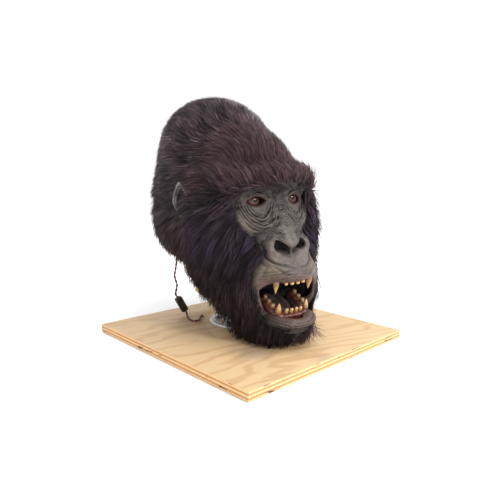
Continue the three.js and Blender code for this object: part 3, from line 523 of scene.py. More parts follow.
pine = Finish("bare_pine", Roughness=0.6)
grain = pine.noise(pine.place(scale=(60, 60, 5), turn=-BOARD_TURN), 1.0, 5, 0.6)
lines = pine.noise(pine.place(scale=(260, 260, 10), turn=-BOARD_TURN), 1.0, 3)
pine.surface({
    "Base Color": pine.mix(grain.between(0.35, 0.7), (0.62, 0.41, 0.15), (0.42, 0.24, 0.07)),
    "Roughness": 0.5 + lines * 0.25,
})
pine.bump(lines, 0.0004, 0.5)
post_foot, post_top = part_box("stand_post")
post = turned("wooden_post", [
    (0, post_foot.z), (POST_DIA / 2 - POST_EDGE, post_foot.z), (POST_DIA / 2, post_foot.z + POST_EDGE),
    (POST_DIA / 2, post_top.z - POST_EDGE), (POST_DIA / 2 - POST_EDGE, post_top.z), (0, post_top.z),
], (*POST_PLACE, 0))
shade(post)
belongs(post, "pine", pine, replaces=["stand_post"])
for node, name in (("crown_block", "crown_rest"), ("neck_arm", "wedged_arm")):
    block = copy_of_node(node, name)
    soften_edges(block, BLOCK_EDGE, 2)
    belongs(block, "pine", pine, replaces=[node])


# Head forms
# The mask was sculpted as one head. Its swellings are given as shares of the bare head's width, length and
# height. A row with x above 0 stands on both sides, tilt is in degrees and blend is a share of the width. All
# lengths from here to the eyes' section, and again for ears, hood and fur, are in millimetres.
HEAD_WIDTH, HEAD_LENGTH, HEAD_HEIGHT = 180.0, 325.0, 360.0
HEAD_FOOT = 12.7
LEAN = math.radians(-3)
LEAN_PIVOT = 112.0
SKULL = [
    # name, x, y, z, wide, deep, high, tilt, blend
    ("cranium", 0, 0.34, 0.58, 0.49, 0.38, 0.25, 0, 0.05),
    ("crest", 0, 0.36, 0.8, 0.42, 0.32, 0.195, 8, 0.2),
    ("forehead", 0, 0.0, 0.68, 0.3, 0.2, 0.15, 18, 0.2),
    ("cheek", 0.27, 0.0, 0.4, 0.16, 0.17, 0.17, 0, 0.25),
    ("neck", 0, 0.14, 0.3, 0.29, 0.27, 0.28, 0, 0.25),
    ("jaw", 0, -0.17, 0.12, 0.27, 0.18, 0.085, 12, 0.15),
    ("throat", 0, -0.06, 0.11, 0.22, 0.14, 0.14, 0, 0.2),
    ("muzzle", 0, -0.18, 0.33, 0.3, 0.18, 0.105, 0, 0.15),
]
BROW = [
    ("brow", 0, -0.185, 0.64, 0.33, 0.085, 0.042, -10, 0.08),
    ("outer_brow", 0.235, -0.16, 0.625, 0.125, 0.062, 0.04, 0, 0.08),
    ("cheekbone", 0.25, -0.135, 0.5, 0.145, 0.08, 0.08, 0, 0.1),
]
FACE = [
    ("eyelid", 0.172, -0.18, 0.575, 0.086, 0.047, 0.043, 0, 0.06),
    ("bridge", 0, -0.185, 0.545, 0.085, 0.066, 0.085, 12, 0.07),
    ("nose", 0, -0.245, 0.465, 0.115, 0.08, 0.078, 20, 0.07),
    ("nose_tip", 0, -0.305, 0.418, 0.11, 0.058, 0.04, 0, 0.05),
    ("nostril_wing", 0.13, -0.285, 0.4, 0.08, 0.062, 0.044, 0, 0.045),
    ("upper_lip", 0, -0.3, 0.31, 0.235, 0.115, 0.058, 0, 0.07),
    ("lip_corner", 0.21, -0.25, 0.285, 0.09, 0.08, 0.048, 0, 0.07),
    ("mouth_fill", 0, -0.2, 0.2, 0.25, 0.15, 0.09, 0, 0.06),
    ("mouth_corner", 0.24, -0.235, 0.22, 0.075, 0.085, 0.09, 0, 0.07),
    ("lower_lip", 0, -0.325, 0.118, 0.215, 0.103, 0.037, 0, 0.05),
    ("chin", 0, -0.31, 0.085, 0.17, 0.085, 0.045, 0, 0.06),
    ("bridge_side", 0.075, -0.18, 0.525, 0.09, 0.058, 0.09, 10, 0.1),
    ("cheek_front", 0.17, -0.155, 0.475, 0.13, 0.07, 0.085, 0, 0.1),
    ("nose_flank", 0.1, -0.215, 0.46, 0.09, 0.06, 0.06, 15, 0.1),
]
RUFF = [  # fur that stands away from the head
    ("brow_tuft", 0, -0.22, 0.665, 0.25, 0.09, 0.05, 0, 0.15),
    ("brow_side", 0.3, -0.12, 0.63, 0.1, 0.08, 0.07, 0, 0.15),
    ("temple", 0.36, 0.1, 0.56, 0.17, 0.2, 0.17, 0, 0.2),
    ("sideburn", 0.38, -0.03, 0.44, 0.19, 0.17, 0.17, 0, 0.15),
    ("cheek_fur", 0.27, -0.13, 0.24, 0.13, 0.12, 0.14, 0, 0.15),
    ("beard", 0, -0.23, 0.05, 0.26, 0.15, 0.045, 0, 0.12),
    ("nape", 0.28, 0.36, 0.44, 0.32, 0.3, 0.17, 0, 0.2),
]
HOLLOW = [  # the room inside for the wearer's head
    ("crown", 0, 0.34, 0.575, 0.46, 0.36, 0.235, 0, 0.05),
    ("crest_room", 0, 0.36, 0.79, 0.37, 0.295, 0.175, 8, 0.2),
    ("forehead_room", 0, 0.02, 0.66, 0.3, 0.18, 0.13, 0, 0.2),
    ("face_room", 0, -0.06, 0.48, 0.28, 0.15, 0.15, 0, 0.2),
    ("muzzle_room", 0, -0.16, 0.28, 0.25, 0.19, 0.12, 0, 0.15),
    ("jaw_room", 0, -0.17, 0.13, 0.21, 0.15, 0.065, 0, 0.15),
    ("neck_room", 0, 0.21, 0.28, 0.36, 0.3, 0.28, 0, 0.2),
]
FACE_FRONT = [  # outline of the bare face from the front, x and z
    (0, 0.605), (0.17, 0.617), (0.29, 0.607), (0.352, 0.565), (0.335, 0.505), (0.27, 0.455), (0.26, 0.415),
    (0.36, 0.375), (0.38, 0.2), (0.28, 0.1), (0.15, 0.07), (0, 0.062),
]
FACE_SIDE = [  # its back edge from the side, y and z
    (-0.08, 0.8), (-0.1, 0.47), (-0.2, 0.41), (-0.232, 0.36), (-0.25, 0.27), (-0.27, 0.17), (-0.33, 0.1),
    (-0.36, -0.05),
]
HEM = [  # lower edge of the hood from the side, y and z
    (0.95, 0.36), (0.6, 0.34), (0.43, 0.32), (0.3, 0.29), (0.2, 0.262), (0.12, 0.22), (0.037, 0.175),
    (-0.02, 0.14), (-0.09, 0.08), (-0.165, 0),
]
HAIR_FRONT = [  # where the hair stops round the face, from the front, x and z
    (0, 0.612), (0.17, 0.62), (0.285, 0.61), (0.345, 0.565), (0.34, 0.515), (0.295, 0.475), (0.24, 0.452),
    (0.21, 0.43), (0.215, 0.4), (0.26, 0.372), (0.3, 0.345), (0.305, 0.29), (0.288, 0.235), (0.262, 0.17),
    (0.2, 0.125), (0.1, 0.105), (0, 0.1),
]
HAIR_SIDE = [  # and from the side, y and z
    (-0.08, 0.8), (-0.1, 0.48), (-0.17, 0.44), (-0.235, 0.39), (-0.24, 0.33), (-0.252, 0.27), (-0.268, 0.17),
    (-0.33, 0.115), (-0.36, -0.05),
]
FAR_OFF = 600


def in_head(x, y, z):
    return np.array((x * HEAD_WIDTH, y * HEAD_LENGTH, HEAD_FOOT + z * HEAD_HEIGHT), np.float32)


def on_stand(points):
    """Points of the upright head, in millimetres, as they lean on the stand, in metres."""
    points = np.asarray(points, float)
    x, z = points[:, 0], points[:, 2] - LEAN_PIVOT
    leaned_x = x * math.cos(LEAN) + z * math.sin(LEAN)
    leaned_z = z * math.cos(LEAN) - x * math.sin(LEAN) + LEAN_PIVOT
    return np.column_stack([leaned_x, points[:, 1], leaned_z]) * MM


def height_and_back(points):
    """How high and how far back points are, as shares of the head's height and length."""
    return (points[..., 2] - HEAD_FOOT) / HEAD_HEIGHT, points[..., 1] / HEAD_LENGTH


def ease(value, low, high):
    share = np.clip((value - low) / (high - low), 0, 1)
    return share * share * (3 - 2 * share)


def join_softly(a, b, blend):
    h = np.maximum(blend - np.abs(a - b), 0) / blend
    return np.minimum(a, b) - h * h * blend / 4


def cut_softly(a, b, blend):
    """What lies in a and outside b."""
    return -join_softly(-a, b, blend)


def past_form(points, form, side):
    """About how far points lie outside one swelling, negative within."""
    _, x, y, z, wide, deep, high, tilt, _ = form
    away = points - in_head(x * side, y, z)
    tilt = math.radians(tilt)
    wide, deep, high = wide * HEAD_WIDTH, deep * HEAD_LENGTH, high * HEAD_HEIGHT
    dx = away[..., 0] / wide
    along = (away[..., 1] * math.cos(tilt) + away[..., 2] * math.sin(tilt)) / deep
    upward = (away[..., 2] * math.cos(tilt) - away[..., 1] * math.sin(tilt)) / high
    near = np.sqrt(dx * dx + along * along + upward * upward)
    slope = np.sqrt((dx / wide) ** 2 + (along / deep) ** 2 + (upward / high) ** 2)
    return near * (near - 1) / np.maximum(slope, 1e-5)


def past_forms(points, forms):
    past = np.full(points.shape[:-1], FAR_OFF, np.float32)
    for form in forms:
        for side in ((-1, 1) if form[1] > 0 else (1,)):
            past = join_softly(past, past_form(points, form, side), form[8] * HEAD_WIDTH)
    return past


def skin(points):
    return past_forms(points, SKULL + BROW + FACE)


# Fur is short on the crest and beside the bare face, and deepens down the sides and back
CROWN_FUR, SIDE_FUR, FACE_FUR = 13.0, 20.0, 7.0


def fur_depth(points):
    height, back = height_and_back(points)
    depth = CROWN_FUR + (SIDE_FUR - CROWN_FUR) * ease(0.95 - height, 0, 0.35)
    return FACE_FUR + (depth - FACE_FUR) * ease(back, -0.28, -0.02)


def fur(points):
    short = past_forms(points, SKULL + BROW) - fur_depth(points)
    return join_softly(short, past_forms(points, RUFF), 0.1 * HEAD_WIDTH)


def unit_rows(rows):
    return rows / np.maximum(np.linalg.norm(rows, axis=-1), 1e-6)[..., None]


def outward(body, points):
    """Unit directions out of a body at points."""
    centre = body(points)
    steps = np.eye(3, dtype=np.float32)
    return unit_rows(np.stack([body(points + step) - centre for step in steps], axis=-1))


def past_outline(a, b, outline):
    """How far points (a, b) lie outside a closed outline, negative within."""
    outline = np.asarray(outline, float)
    far = np.full(a.shape, 1e9)
    inside = np.zeros(a.shape, bool)
    for (a0, b0), (a1, b1) in zip(outline, np.roll(outline, -1, axis=0)):
        da, db = a1 - a0, b1 - b0
        share = np.clip(((a - a0) * da + (b - b0) * db) / (da * da + db * db), 0, 1)
        far = np.minimum(far, np.hypot(a - a0 - share * da, b - b0 - share * db))
        crosses = (b0 > b) != (b1 > b)
        inside ^= crosses & (a < a0 + (b - b0) * da / (db if db else 1e-9))
    return np.where(inside, -far, far).astype(np.float32)


def in_mm(outline, span):
    return [(a * span, HEAD_FOOT + b * HEAD_HEIGHT) for a, b in outline]


def both_sides(half):
    half = in_mm(half, HEAD_WIDTH)
    return half + [(-x, z) for x, z in half[-2:0:-1]]


def all_before(line):
    """All that stands before a line seen from the side, as a closed outline."""
    line = in_mm(line, HEAD_LENGTH)
    return [(-FAR_OFF, line[0][1]), *line, (-FAR_OFF, line[-1][1])]


skin_front, skin_side = both_sides(FACE_FRONT), all_before(FACE_SIDE)
hair_front, hair_side = both_sides(HAIR_FRONT), all_before(HAIR_SIDE)
hem = in_mm(HEM, HEAD_LENGTH)
hem += [(-FAR_OFF, HEAD_FOOT), (-FAR_OFF, -FAR_OFF), (hem[0][0], -FAR_OFF)]


def past_hair_line(x, y, z):
    return np.maximum(past_outline(x, z, hair_front), past_outline(y, z, hair_side))


def past_bare_skin(grid):
    """How far a grid's points lie outside the bare skin, seen from the front and the side."""
    from_front = past_outline(grid[:, 0, :, 0], grid[:, 0, :, 2], skin_front)[:, None, :]
    from_side = past_outline(grid[0, :, :, 1], grid[0, :, :, 2], skin_side)[None, :, :]
    return np.maximum(from_front, from_side)


def past_hem(y, z):
    return past_outline(y, z, hem)


def grid_over(low, high, step):
    axes = [np.arange(a, b + step, step, dtype=np.float32) for a, b in zip(low, high)]
    return np.stack(np.meshgrid(*axes, indexing="ij"), axis=-1)


def skin_over(field, low, step):
    """Points and four-cornered faces of the smooth closed surface where a grid of distances passes zero."""
    inside = field < 0
    size = np.array(field.shape) - 1
    full = np.zeros(size, np.int8)
    for i in (0, 1):
        for j in (0, 1):
            for k in (0, 1):
                full += inside[i:size[0] + i, j:size[1] + j, k:size[2] + k]
    cell = np.argwhere((full > 0) & (full < 8))
    number = np.full(size, -1, np.int32)
    number[tuple(cell.T)] = np.arange(len(cell))
    total = np.zeros((len(cell), 3))
    hits = np.zeros(len(cell))
    ways = np.eye(3, dtype=int)
    for axis in range(3):
        u, v = ways[(axis + 1) % 3], ways[(axis + 2) % 3]
        for corner in (0 * u, u, v, u + v):
            start = cell + corner
            end = start + ways[axis]
            a, b = field[tuple(start.T)], field[tuple(end.T)]
            crossed = (a < 0) != (b < 0)
            share = np.where(crossed, a / np.where(crossed, a - b, 1), 0)
            total += (start + share[:, None] * ways[axis]) * crossed[:, None]
            hits += crossed
    points = np.asarray(low) + total / hits[:, None] * step
    faces = []
    for axis in range(3):
        u, v = ways[(axis + 1) % 3], ways[(axis + 2) % 3]
        ends = np.array(field.shape) - ways[axis]
        here = inside[:ends[0], :ends[1], :ends[2]]
        there = inside[ways[axis][0]:, ways[axis][1]:, ways[axis][2]:]
        edge = np.argwhere(here != there)
        edge = edge[((edge >= u + v) & (edge < size)).all(axis=1)]
        quad = np.stack([number[tuple((edge - shift).T)] for shift in (0 * u, u, u + v, v)], axis=1)
        leaves = here[tuple(edge.T)]
        quad[~leaves] = quad[~leaves][:, ::-1]
        faces.append(quad)
    return points, np.vstack(faces)


# Face
# Foam-backed latex, cast in a mould and painted. It is deeply creased round the eyes, nose and lips, and its
# lids, nostrils and lips are open. Its edge goes a little way under the fur.
FACE_STEP = 1.25
SKIN_WALL = 6.0
UNDER_FUR = 9.0
EYE = in_head(0.173, -0.178, 0.575)
EYE_ROOM = 13.2
LID_WIDTH, LID_ABOVE, LID_BELOW = 27.0, 6.0, 6.75
MOUTH = in_head(0, -0.3, 0.24)
MOUTH_WIDTH, MOUTH_LENGTH, MOUTH_RISE, MOUTH_DROP = 90.0, 168.0, 10.0, 41.0
NOSTRIL = in_head(0.067, -0.335, 0.403)
NOSTRIL_HALF, NOSTRIL_SPAN = (14, 20, 6.8), 7
NOSTRIL_TURN, NOSTRIL_TILT = math.radians(14), math.radians(27)
SEPTUM_HALF = 2.4
MOUTH_BLEND, LID_BLEND, NOSTRIL_BLEND = 7, 2.2, 4.5
ABOVE_BOARD = 1.5
CREASES = [
    # name, depth and width in millimetres, and points from the front as shares of the head's width and height
    ("lower_lid", 1.5, 1.5, [(0.078, 0.556), (0.117, 0.531), (0.178, 0.52), (0.244, 0.531), (0.285, 0.556)]),
    ("inner_loop", 1.7, 1.5, [(0.075, 0.575), (0.068, 0.54), (0.1, 0.508), (0.16, 0.494), (0.235, 0.503),
                              (0.3, 0.53)]),
    ("outer_loop", 1.6, 1.6, [(0.06, 0.56), (0.052, 0.52), (0.09, 0.48), (0.15, 0.463), (0.225, 0.474),
                              (0.3, 0.5)]),
    ("low_loop", 1.1, 1.5, [(0.075, 0.49), (0.11, 0.458), (0.17, 0.443), (0.23, 0.452)]),
    ("upper_lid", 1.7, 1.5, [(0.08, 0.588), (0.125, 0.606), (0.2, 0.609), (0.27, 0.59)]),
    ("outer_corner", 1.1, 1.3, [(0.275, 0.572), (0.31, 0.575), (0.345, 0.585)]),
    ("outer_low", 1.1, 1.3, [(0.275, 0.562), (0.31, 0.552), (0.345, 0.548)]),
    ("frown", 1.2, 1.5, [(0.035, 0.565), (0.042, 0.59), (0.035, 0.615)]),
    ("root_1", 0.9, 1.4, [(0, 0.556), (0.03, 0.557), (0.05, 0.565)]),
    ("root_2", 0.9, 1.4, [(0, 0.54), (0.035, 0.542), (0.06, 0.55)]),
    ("root_3", 0.8, 1.4, [(0, 0.524), (0.04, 0.527), (0.065, 0.535)]),
    ("fold", 2.2, 2.2, [(0.11, 0.47), (0.17, 0.462), (0.21, 0.44), (0.232, 0.4), (0.232, 0.36), (0.2, 0.33)]),
    ("wing", 2.2, 1.7, [(0.06, 0.456), (0.12, 0.458), (0.175, 0.438), (0.2, 0.402), (0.185, 0.362),
                        (0.13, 0.342), (0.06, 0.334), (0, 0.332)]),
    ("nose_middle", 1.0, 1.8, [(0, 0.45), (0, 0.42), (0, 0.395)]),
    ("lip_slant", 1.5, 1.4, [(0.215, 0.352), (0.17, 0.336), (0.11, 0.312), (0.05, 0.3)]),
    ("lip_high", 1.0, 1.4, [(0.16, 0.318), (0.1, 0.324), (0.03, 0.318)]),
    ("lip_side", 1.2, 1.5, [(0.2, 0.335), (0.24, 0.31), (0.27, 0.28)]),
    ("corner_1", 1.8, 1.8, [(0.27, 0.315), (0.305, 0.28), (0.315, 0.235), (0.3, 0.19)]),
    ("corner_2", 1.4, 1.6, [(0.31, 0.33), (0.345, 0.29), (0.35, 0.24), (0.335, 0.19)]),
    ("cheek_1", 1.3, 1.6, [(0.27, 0.45), (0.29, 0.42), (0.29, 0.385), (0.27, 0.35)]),
    ("chin_1", 1.2, 1.6, [(0, 0.092), (0.1, 0.094), (0.19, 0.108)]),
    ("chin_2", 1.0, 1.5, [(0, 0.128), (0.1, 0.13), (0.2, 0.145)]),
]
OCHRE = (0.23, 0.18, 0.098)
OCHRE_PATCHES = [  # place, reach and strength, beside the eyes and round the muzzle
    ((-0.055, -0.085, 0.190), 0.024, 0.42), ((-0.044, -0.125, 0.135), 0.030, 0.55),
    ((0.036, -0.130, 0.135), 0.030, 0.35), ((0.055, -0.085, 0.190), 0.024, 0.4),
]
face_low = in_head(-0.45, -0.44, 0.03)
face_high = in_head(0.45, -0.05, 0.66)
face_grid = grid_over(face_low, face_high, FACE_STEP)
front_x, front_z = face_grid[:, 0, :, 0], face_grid[:, 0, :, 2]


def relief_at(x, z):
    """How deep the creases are at places seen from the front, and how far the skin swells beside them."""
    carved = np.zeros(x.shape, np.float32)
    raised = np.zeros(x.shape, np.float32)
    wander = np.sin(x * 0.31 + z * 0.17) * 0.7 + np.sin(x * 0.13 - z * 0.41) * 0.6
    for _, deep, wide, route in CREASES:
        line = smooth_line(in_mm(route, HEAD_WIDTH), 5)
        share = np.linspace(0, 1, len(line))
        far = np.full(x.shape, 1e9, np.float32)
        fade = np.ones(x.shape, np.float32)
        mirrored = np.abs(x) + wander * 0.6
        for i in range(len(line) - 1):
            (a0, b0), (a1, b1) = line[i], line[i + 1]
            da, db = a1 - a0, b1 - b0
            along = np.clip(((mirrored - a0) * da + (z + wander - b0) * db) / (da * da + db * db), 0, 1)
            distance = np.hypot(mirrored - a0 - along * da, z + wander - b0 - along * db)
            nearer = distance < far
            far = np.where(nearer, distance, far)
            fade = np.where(nearer, np.sin(math.pi * (0.06 + 0.88 * (share[i] + along / len(line)))), fade)
        depth = deep * np.sqrt(np.maximum(fade, 0))
        carved = np.maximum(carved, depth * np.exp(-(far / wide) ** 2))
        raised += 0.4 * depth * np.exp(-((far - 2.1 * wide) / (1.3 * wide)) ** 2)
    fine = np.sin(z * 1.7 + np.sin(x * 0.21) * 2.4) * np.sin(x * 0.45 + z * 0.3)
    return carved, np.minimum(raised, 1.8), fine.astype(np.float32) * 0.16


def past_mouth(points):
    away = points - MOUTH
    half = MOUTH_WIDTH / 2, MOUTH_LENGTH / 2, np.where(away[..., 2] > 0, MOUTH_RISE, MOUTH_DROP)
    near = np.sqrt(sum((away[..., axis] / half[axis]) ** 2 for axis in range(3)))
    slope = np.sqrt(sum((away[..., axis] / half[axis] ** 2) ** 2 for axis in range(3)))
    return near * (near - 1) / np.maximum(slope, 1e-5)


def past_lids(points):
    """How far points lie outside the almond-shaped openings before the eyes."""
    x = np.abs(points[..., 0]) - EYE[0]
    z = points[..., 2] - EYE[2] + x * 0.07
    bow = 1 - (x / (LID_WIDTH / 2)) ** 2
    high = np.where(z > 0, LID_ABOVE, LID_BELOW) * bow
    return np.maximum(np.abs(z) - high, points[..., 1] - EYE[1])


def past_nostrils(points):
    """How far points lie outside the comma-shaped nostrils, which widen outwards from the septum."""
    x = np.abs(points[..., 0]) - NOSTRIL[0]
    y = points[..., 1] - NOSTRIL[1]
    z = points[..., 2] - NOSTRIL[2]
    cosine, sine = math.cos(NOSTRIL_TURN), math.sin(NOSTRIL_TURN)
    x, y = x * cosine + y * sine, y * cosine - x * sine
    z = z - y * 0.32 + 1
    cosine, sine = math.cos(NOSTRIL_TILT), math.sin(NOSTRIL_TILT)
    x, z = x * cosine + z * sine, z * cosine - x * sine
    wide, deep, high = NOSTRIL_HALF
    near = np.sqrt((x / wide) ** 2 + (y / deep) ** 2 + (z / (high + 0.1 * x)) ** 2)
    return np.maximum((near - 1) * NOSTRIL_SPAN, SEPTUM_HALF - np.abs(points[..., 0]))


carved, raised, fine = relief_at(front_x, front_z)
bare_skin = skin(face_grid)
relief = (raised + fine - carved)[:, None, :] * ease(face_grid[..., 1] / HEAD_LENGTH, -0.06, -0.11)
sculpted = bare_skin - relief
sculpted = cut_softly(sculpted, past_mouth(face_grid), MOUTH_BLEND)
sculpted = cut_softly(sculpted, past_lids(face_grid), LID_BLEND)
sculpted = cut_softly(sculpted, past_nostrils(face_grid), NOSTRIL_BLEND)
from_eyes = face_grid - EYE
from_eyes[..., 0] = np.abs(face_grid[..., 0]) - EYE[0]
sculpted = np.maximum(sculpted, EYE_ROOM - np.linalg.norm(from_eyes, axis=-1))
shell = np.maximum(sculpted, -(bare_skin + SKIN_WALL))
shell = np.maximum(shell, past_bare_skin(face_grid) - UNDER_FUR)
shell = np.maximum(shell, HEAD_FOOT + ABOVE_BOARD - face_grid[..., 2])
# the grid's own border stays empty, so that the shell is closed
for axis in range(3):
    for end in (0, -1):
        border = [slice(None)] * 3
        border[axis] = end
        shell[tuple(border)] = np.maximum(shell[tuple(border)], 0.5)
face_points, face_faces = skin_over(shell, face_low, FACE_STEP)
face = from_points("face_latex", on_stand(face_points), face_faces)
x, y, z = face_points.T.astype(np.float32)
carved, raised, fine = relief_at(x, z)
mouth_far = past_mouth(face_points.astype(np.float32))
lid_far = np.hypot((np.abs(x) - EYE[0]) / 1.75, z - EYE[2])
height = (z - HEAD_FOOT) / HEAD_HEIGHT
# crease depth, which also darkens the creases below as painted shade
carry(face, "crease", np.clip(carved / 2.2, 0, 1) ** 1.5)
carry(face, "lip", ease(-mouth_far, -30, -2) * ease(-y, 70, 95))
# painted shade over the eyes and under the brow, and the skin darker below the mouth
upper_face_shade = ease(height, 0.5, 0.56) * 0.5 + ease(height, 0.57, 0.6) * 0.7
carry(face, "dim", np.minimum(ease(0.27 - height, 0, 0.05) + upper_face_shade, 1.2))
carry(face, "lid", 1 - ease(lid_far, 6.5, 10.5))
# the mouth's edge and the nostrils, painted dark as the shade in these openings
carry(face, "inside", ease(-mouth_far, -1.5, 1.5) + ease(-past_nostrils(face_points), -1.8, 0.6) * 0.9)

# fine folds run in rows: each is a place where the row's number passes a whole one
EYE_ACROSS, EYE_UP = 29, 219
across = np.abs(x)
from_eye = np.abs(across - EYE_ACROSS), np.abs(z - EYE_UP) / np.where(z < EYE_UP, 1.4, 1.0)
round_eye = (from_eye[0] ** 1.6 + from_eye[1] ** 1.6) ** (1 / 1.6)


def within(value, rise, fall):
    """1 between two slopes, each given by its start and end, and 0 beyond them."""
    return ease(value, *rise) * (1 - ease(value, *fall))


under_lid = within(round_eye, (11, 14), (27, 34)) * ease(222 - z, 0, 8) * (1 - ease(across, 54, 64))
over_lid = within(round_eye, (9, 11), (18, 22)) * ease(z - EYE_UP, 2, 8) * 0.8
bridge = (1 - ease(across, 8, 12)) * within(height, (0.465, 0.49), (0.6, 0.63))
nose_side = within(across, (7, 12), (26, 34)) * within(height, (0.42, 0.44), (0.465, 0.49))
upper_lip = (1 - ease(across, 40, 50)) * within(height, (0.28, 0.29), (0.315, 0.33))
mouth_side = ease(across, 34, 44) * (1 - ease(height, 0.25, 0.29)) * ease(mouth_far, 3, 6)
chin = (1 - ease(across, 34, 44)) * (1 - ease(height, 0.13, 0.16)) * ease(mouth_far, 4, 8) * 0.7
rows = np.stack([
    round_eye / 3.5, round_eye / 3.0, (z + 2.6 * np.cos(x * 0.3)) / 3.2, (z - 0.7 * across) / 3.8,
    (z + 0.003 * x * x + 1.5 * np.sin(x * 0.12)) / 4.5, mouth_far / 4.0, mouth_far / 4.2])
weights = np.stack([under_lid, over_lid, bridge, nose_side * 0.8, upper_lip * 0.4, mouth_side * 0.5, chin])
strongest = weights.argmax(axis=0)
# painted shade where the fur's edge overhangs the skin
carry(face, "fur_edge_shade", ease(past_hair_line(x, y, z), -6, 3))
carry(face, "fold_row", np.take_along_axis(rows, strongest[None], 0)[0])
carry(face, "fold_depth", np.take_along_axis(weights, strongest[None], 0)[0] * (y < -40))

latex = Finish("painted_latex")
at = latex.place()
mottle = latex.noise(at, 42, 6, 0.6)
fine_mottle = latex.noise(at, 190, 5, 0.6)
pores = latex.cells(at, 900)
wrinkles = latex.noise(latex.place(scale=(160, 160, 520)), 1.0, 5, 0.65, 0.6)
folds = latex.cells(latex.place(scale=(120, 120, 210)), 1.0, "DISTANCE_TO_EDGE")
crease, lip = latex.carried("crease"), latex.carried("lip")
row = latex.carried("fold_row") + latex.noise(at, 90, 3) * 0.75 + fine_mottle * 0.25
row_wave = latex.node("ShaderNodeMath", {"operation": "PINGPONG"}, {0: row, 1: 0.5})
broken = latex.noise(at, 120, 2).between(0.32, 0.5)
row_line = (1 - row_wave.between(0.06, 0.34)) * broken * latex.carried("fold_depth")
tone = latex.mix(mottle.between(0.35, 0.68), (0.056, 0.045, 0.038), (0.104, 0.084, 0.071))
tone = latex.mix(fine_mottle.between(0.4, 0.75) * 0.4, tone, (0.163, 0.132, 0.110))
for centre, reach, deep in OCHRE_PATCHES:
    tone = latex.stained(tone, OCHRE, centre, reach * 0.5, reach + 0.01, mottle * 0.02, deep)
# painted shade over the eyes and under the brow, and darker skin below the mouth
tone = latex.mix(latex.carried("dim") * 0.71, tone, (0.040, 0.029, 0.026))
tone = latex.mix(lip * 0.75, tone, (0.100, 0.055, 0.045))
# painted shade in the creases
tone = latex.mix(crease * 0.9, tone, (0.014, 0.010, 0.010))
# painted shade along the fine fold lines, which the bump also presses in
tone = latex.mix(row_line * 0.95, tone, (0.012, 0.009, 0.008))
# painted shade where the fur's edge overhangs the skin
tone = latex.mix(latex.carried("fur_edge_shade") * 0.9, tone, (0.010, 0.007, 0.008))
tone = latex.mix(latex.carried("lid") * 0.8, tone, (0.045, 0.018, 0.016))
# painted shade inside the mouth's edge and the nostrils
tone = latex.mix(latex.carried("inside").between(0.3, 1.0) * 0.9, tone, (0.014, 0.007, 0.006))
latex.surface({"Base Color": tone, "Roughness": 0.36 + mottle * 0.22 + crease * 0.2 - lip * 0.06})
small_relief = wrinkles * 0.7 + (1 - folds.between(0.0, 0.12)) * -0.4 + pores * 0.2 + fine_mottle * 0.3
latex.bump(small_relief - row_line * 2.6, 0.0012, 0.85)
belongs(face, "latex", latex, replaces=["face_skin"])


# Eyes
# Acrylic balls with a clear, slightly raised front over a large red-brown iris. They are set in the latex
# behind the lids, which shade their upper half.
EYE_DIA = 26 * MM
IRIS_DIA = 18.5 * MM
PUPIL_DIA = 6 * MM
CORNEA_START, CORNEA_RISE = 0.78, 0.085
for side_name, side in (("right", -1), ("left", 1)):
    centre = Vector(on_stand([EYE * (side, 1, 1)])[0])
    bpy.ops.mesh.primitive_uv_sphere_add(segments=64, ring_count=40, radius=EYE_DIA / 2)
    eye = bpy.context.object
    eye.name = f"eyeball_{side_name}"
    eye.data.transform(Matrix.Rotation(math.radians(90), 4, "X"))
    for vertex in eye.data.vertices:
        front = max(0.0, (-vertex.co.y / (EYE_DIA / 2) - CORNEA_START) / (1 - CORNEA_START))
        vertex.co *= 1 + CORNEA_RISE * front * front * (3 - 2 * front)
    eye.data.transform(Matrix.Translation(centre))
    eye.data.shade_smooth()
    acrylic = Finish(f"acrylic_eye_{side_name}", Roughness=0.05, Specular_IOR_Level=0.3)
    at = acrylic.place(centre=tuple(centre))
    ex, _, ez = acrylic.parts(at)
    radial = (ex * ex + ez * ez) ** 0.5
    angle_round = acrylic.node("ShaderNodeMath", {"operation": "ARCTAN2"}, {0: ez, 1: ex})
    spokes_place = acrylic.node("ShaderNodeCombineXYZ", None, {0: angle_round * 9, 1: radial * 120, 2: 0.0})
    spokes = acrylic.noise(spokes_place, 1.0, 4, 0.7)
    speckle = acrylic.noise(at, 260, 4).between(0.45, 0.7)
    white = acrylic.mix(speckle, (0.075, 0.034, 0.028), (0.03, 0.012, 0.011))
    iris = acrylic.mix(spokes.between(0.3, 0.7), (0.050, 0.018, 0.014), (0.115, 0.052, 0.040))
    iris = acrylic.mix(radial.between(IRIS_DIA * 0.38, IRIS_DIA * 0.5), iris, (0.016, 0.007, 0.006))
    tone = acrylic.mix(radial.between(IRIS_DIA * 0.49, IRIS_DIA * 0.54), iris, white)
    tone = acrylic.mix(radial.between(PUPIL_DIA * 0.46, PUPIL_DIA * 0.54), (0.002, 0.002, 0.002), tone)
    under_lid_shade = ez.between(-1 * MM, 6 * MM) * 0.85
    acrylic.surface({"Base Color": acrylic.mix(under_lid_shade, tone, (0.004, 0.002, 0.002))})
    belongs(eye, "acrylic", acrylic, replaces=[f"eye_{side_name}"])


# Mouth
# A black cloth-backed bag closes the mouth behind cast dental pieces: red-brown gums and stained ivory teeth
# in two arches, with a dark tongue between the lower teeth.
bag_black = two_tone("mouth_bag", 60, 0.4, 0.7, (0.004, 0.003, 0.003), (0.016, 0.009, 0.009), Roughness=0.7)
bag = copy_of_node("mouth_lining", "mouth_bag")
modifier(bag, "SUBSURF", levels=1, render_levels=1)
bag.data.shade_smooth()
belongs(bag, "mouth_bag", bag_black, replaces=["mouth_lining"])

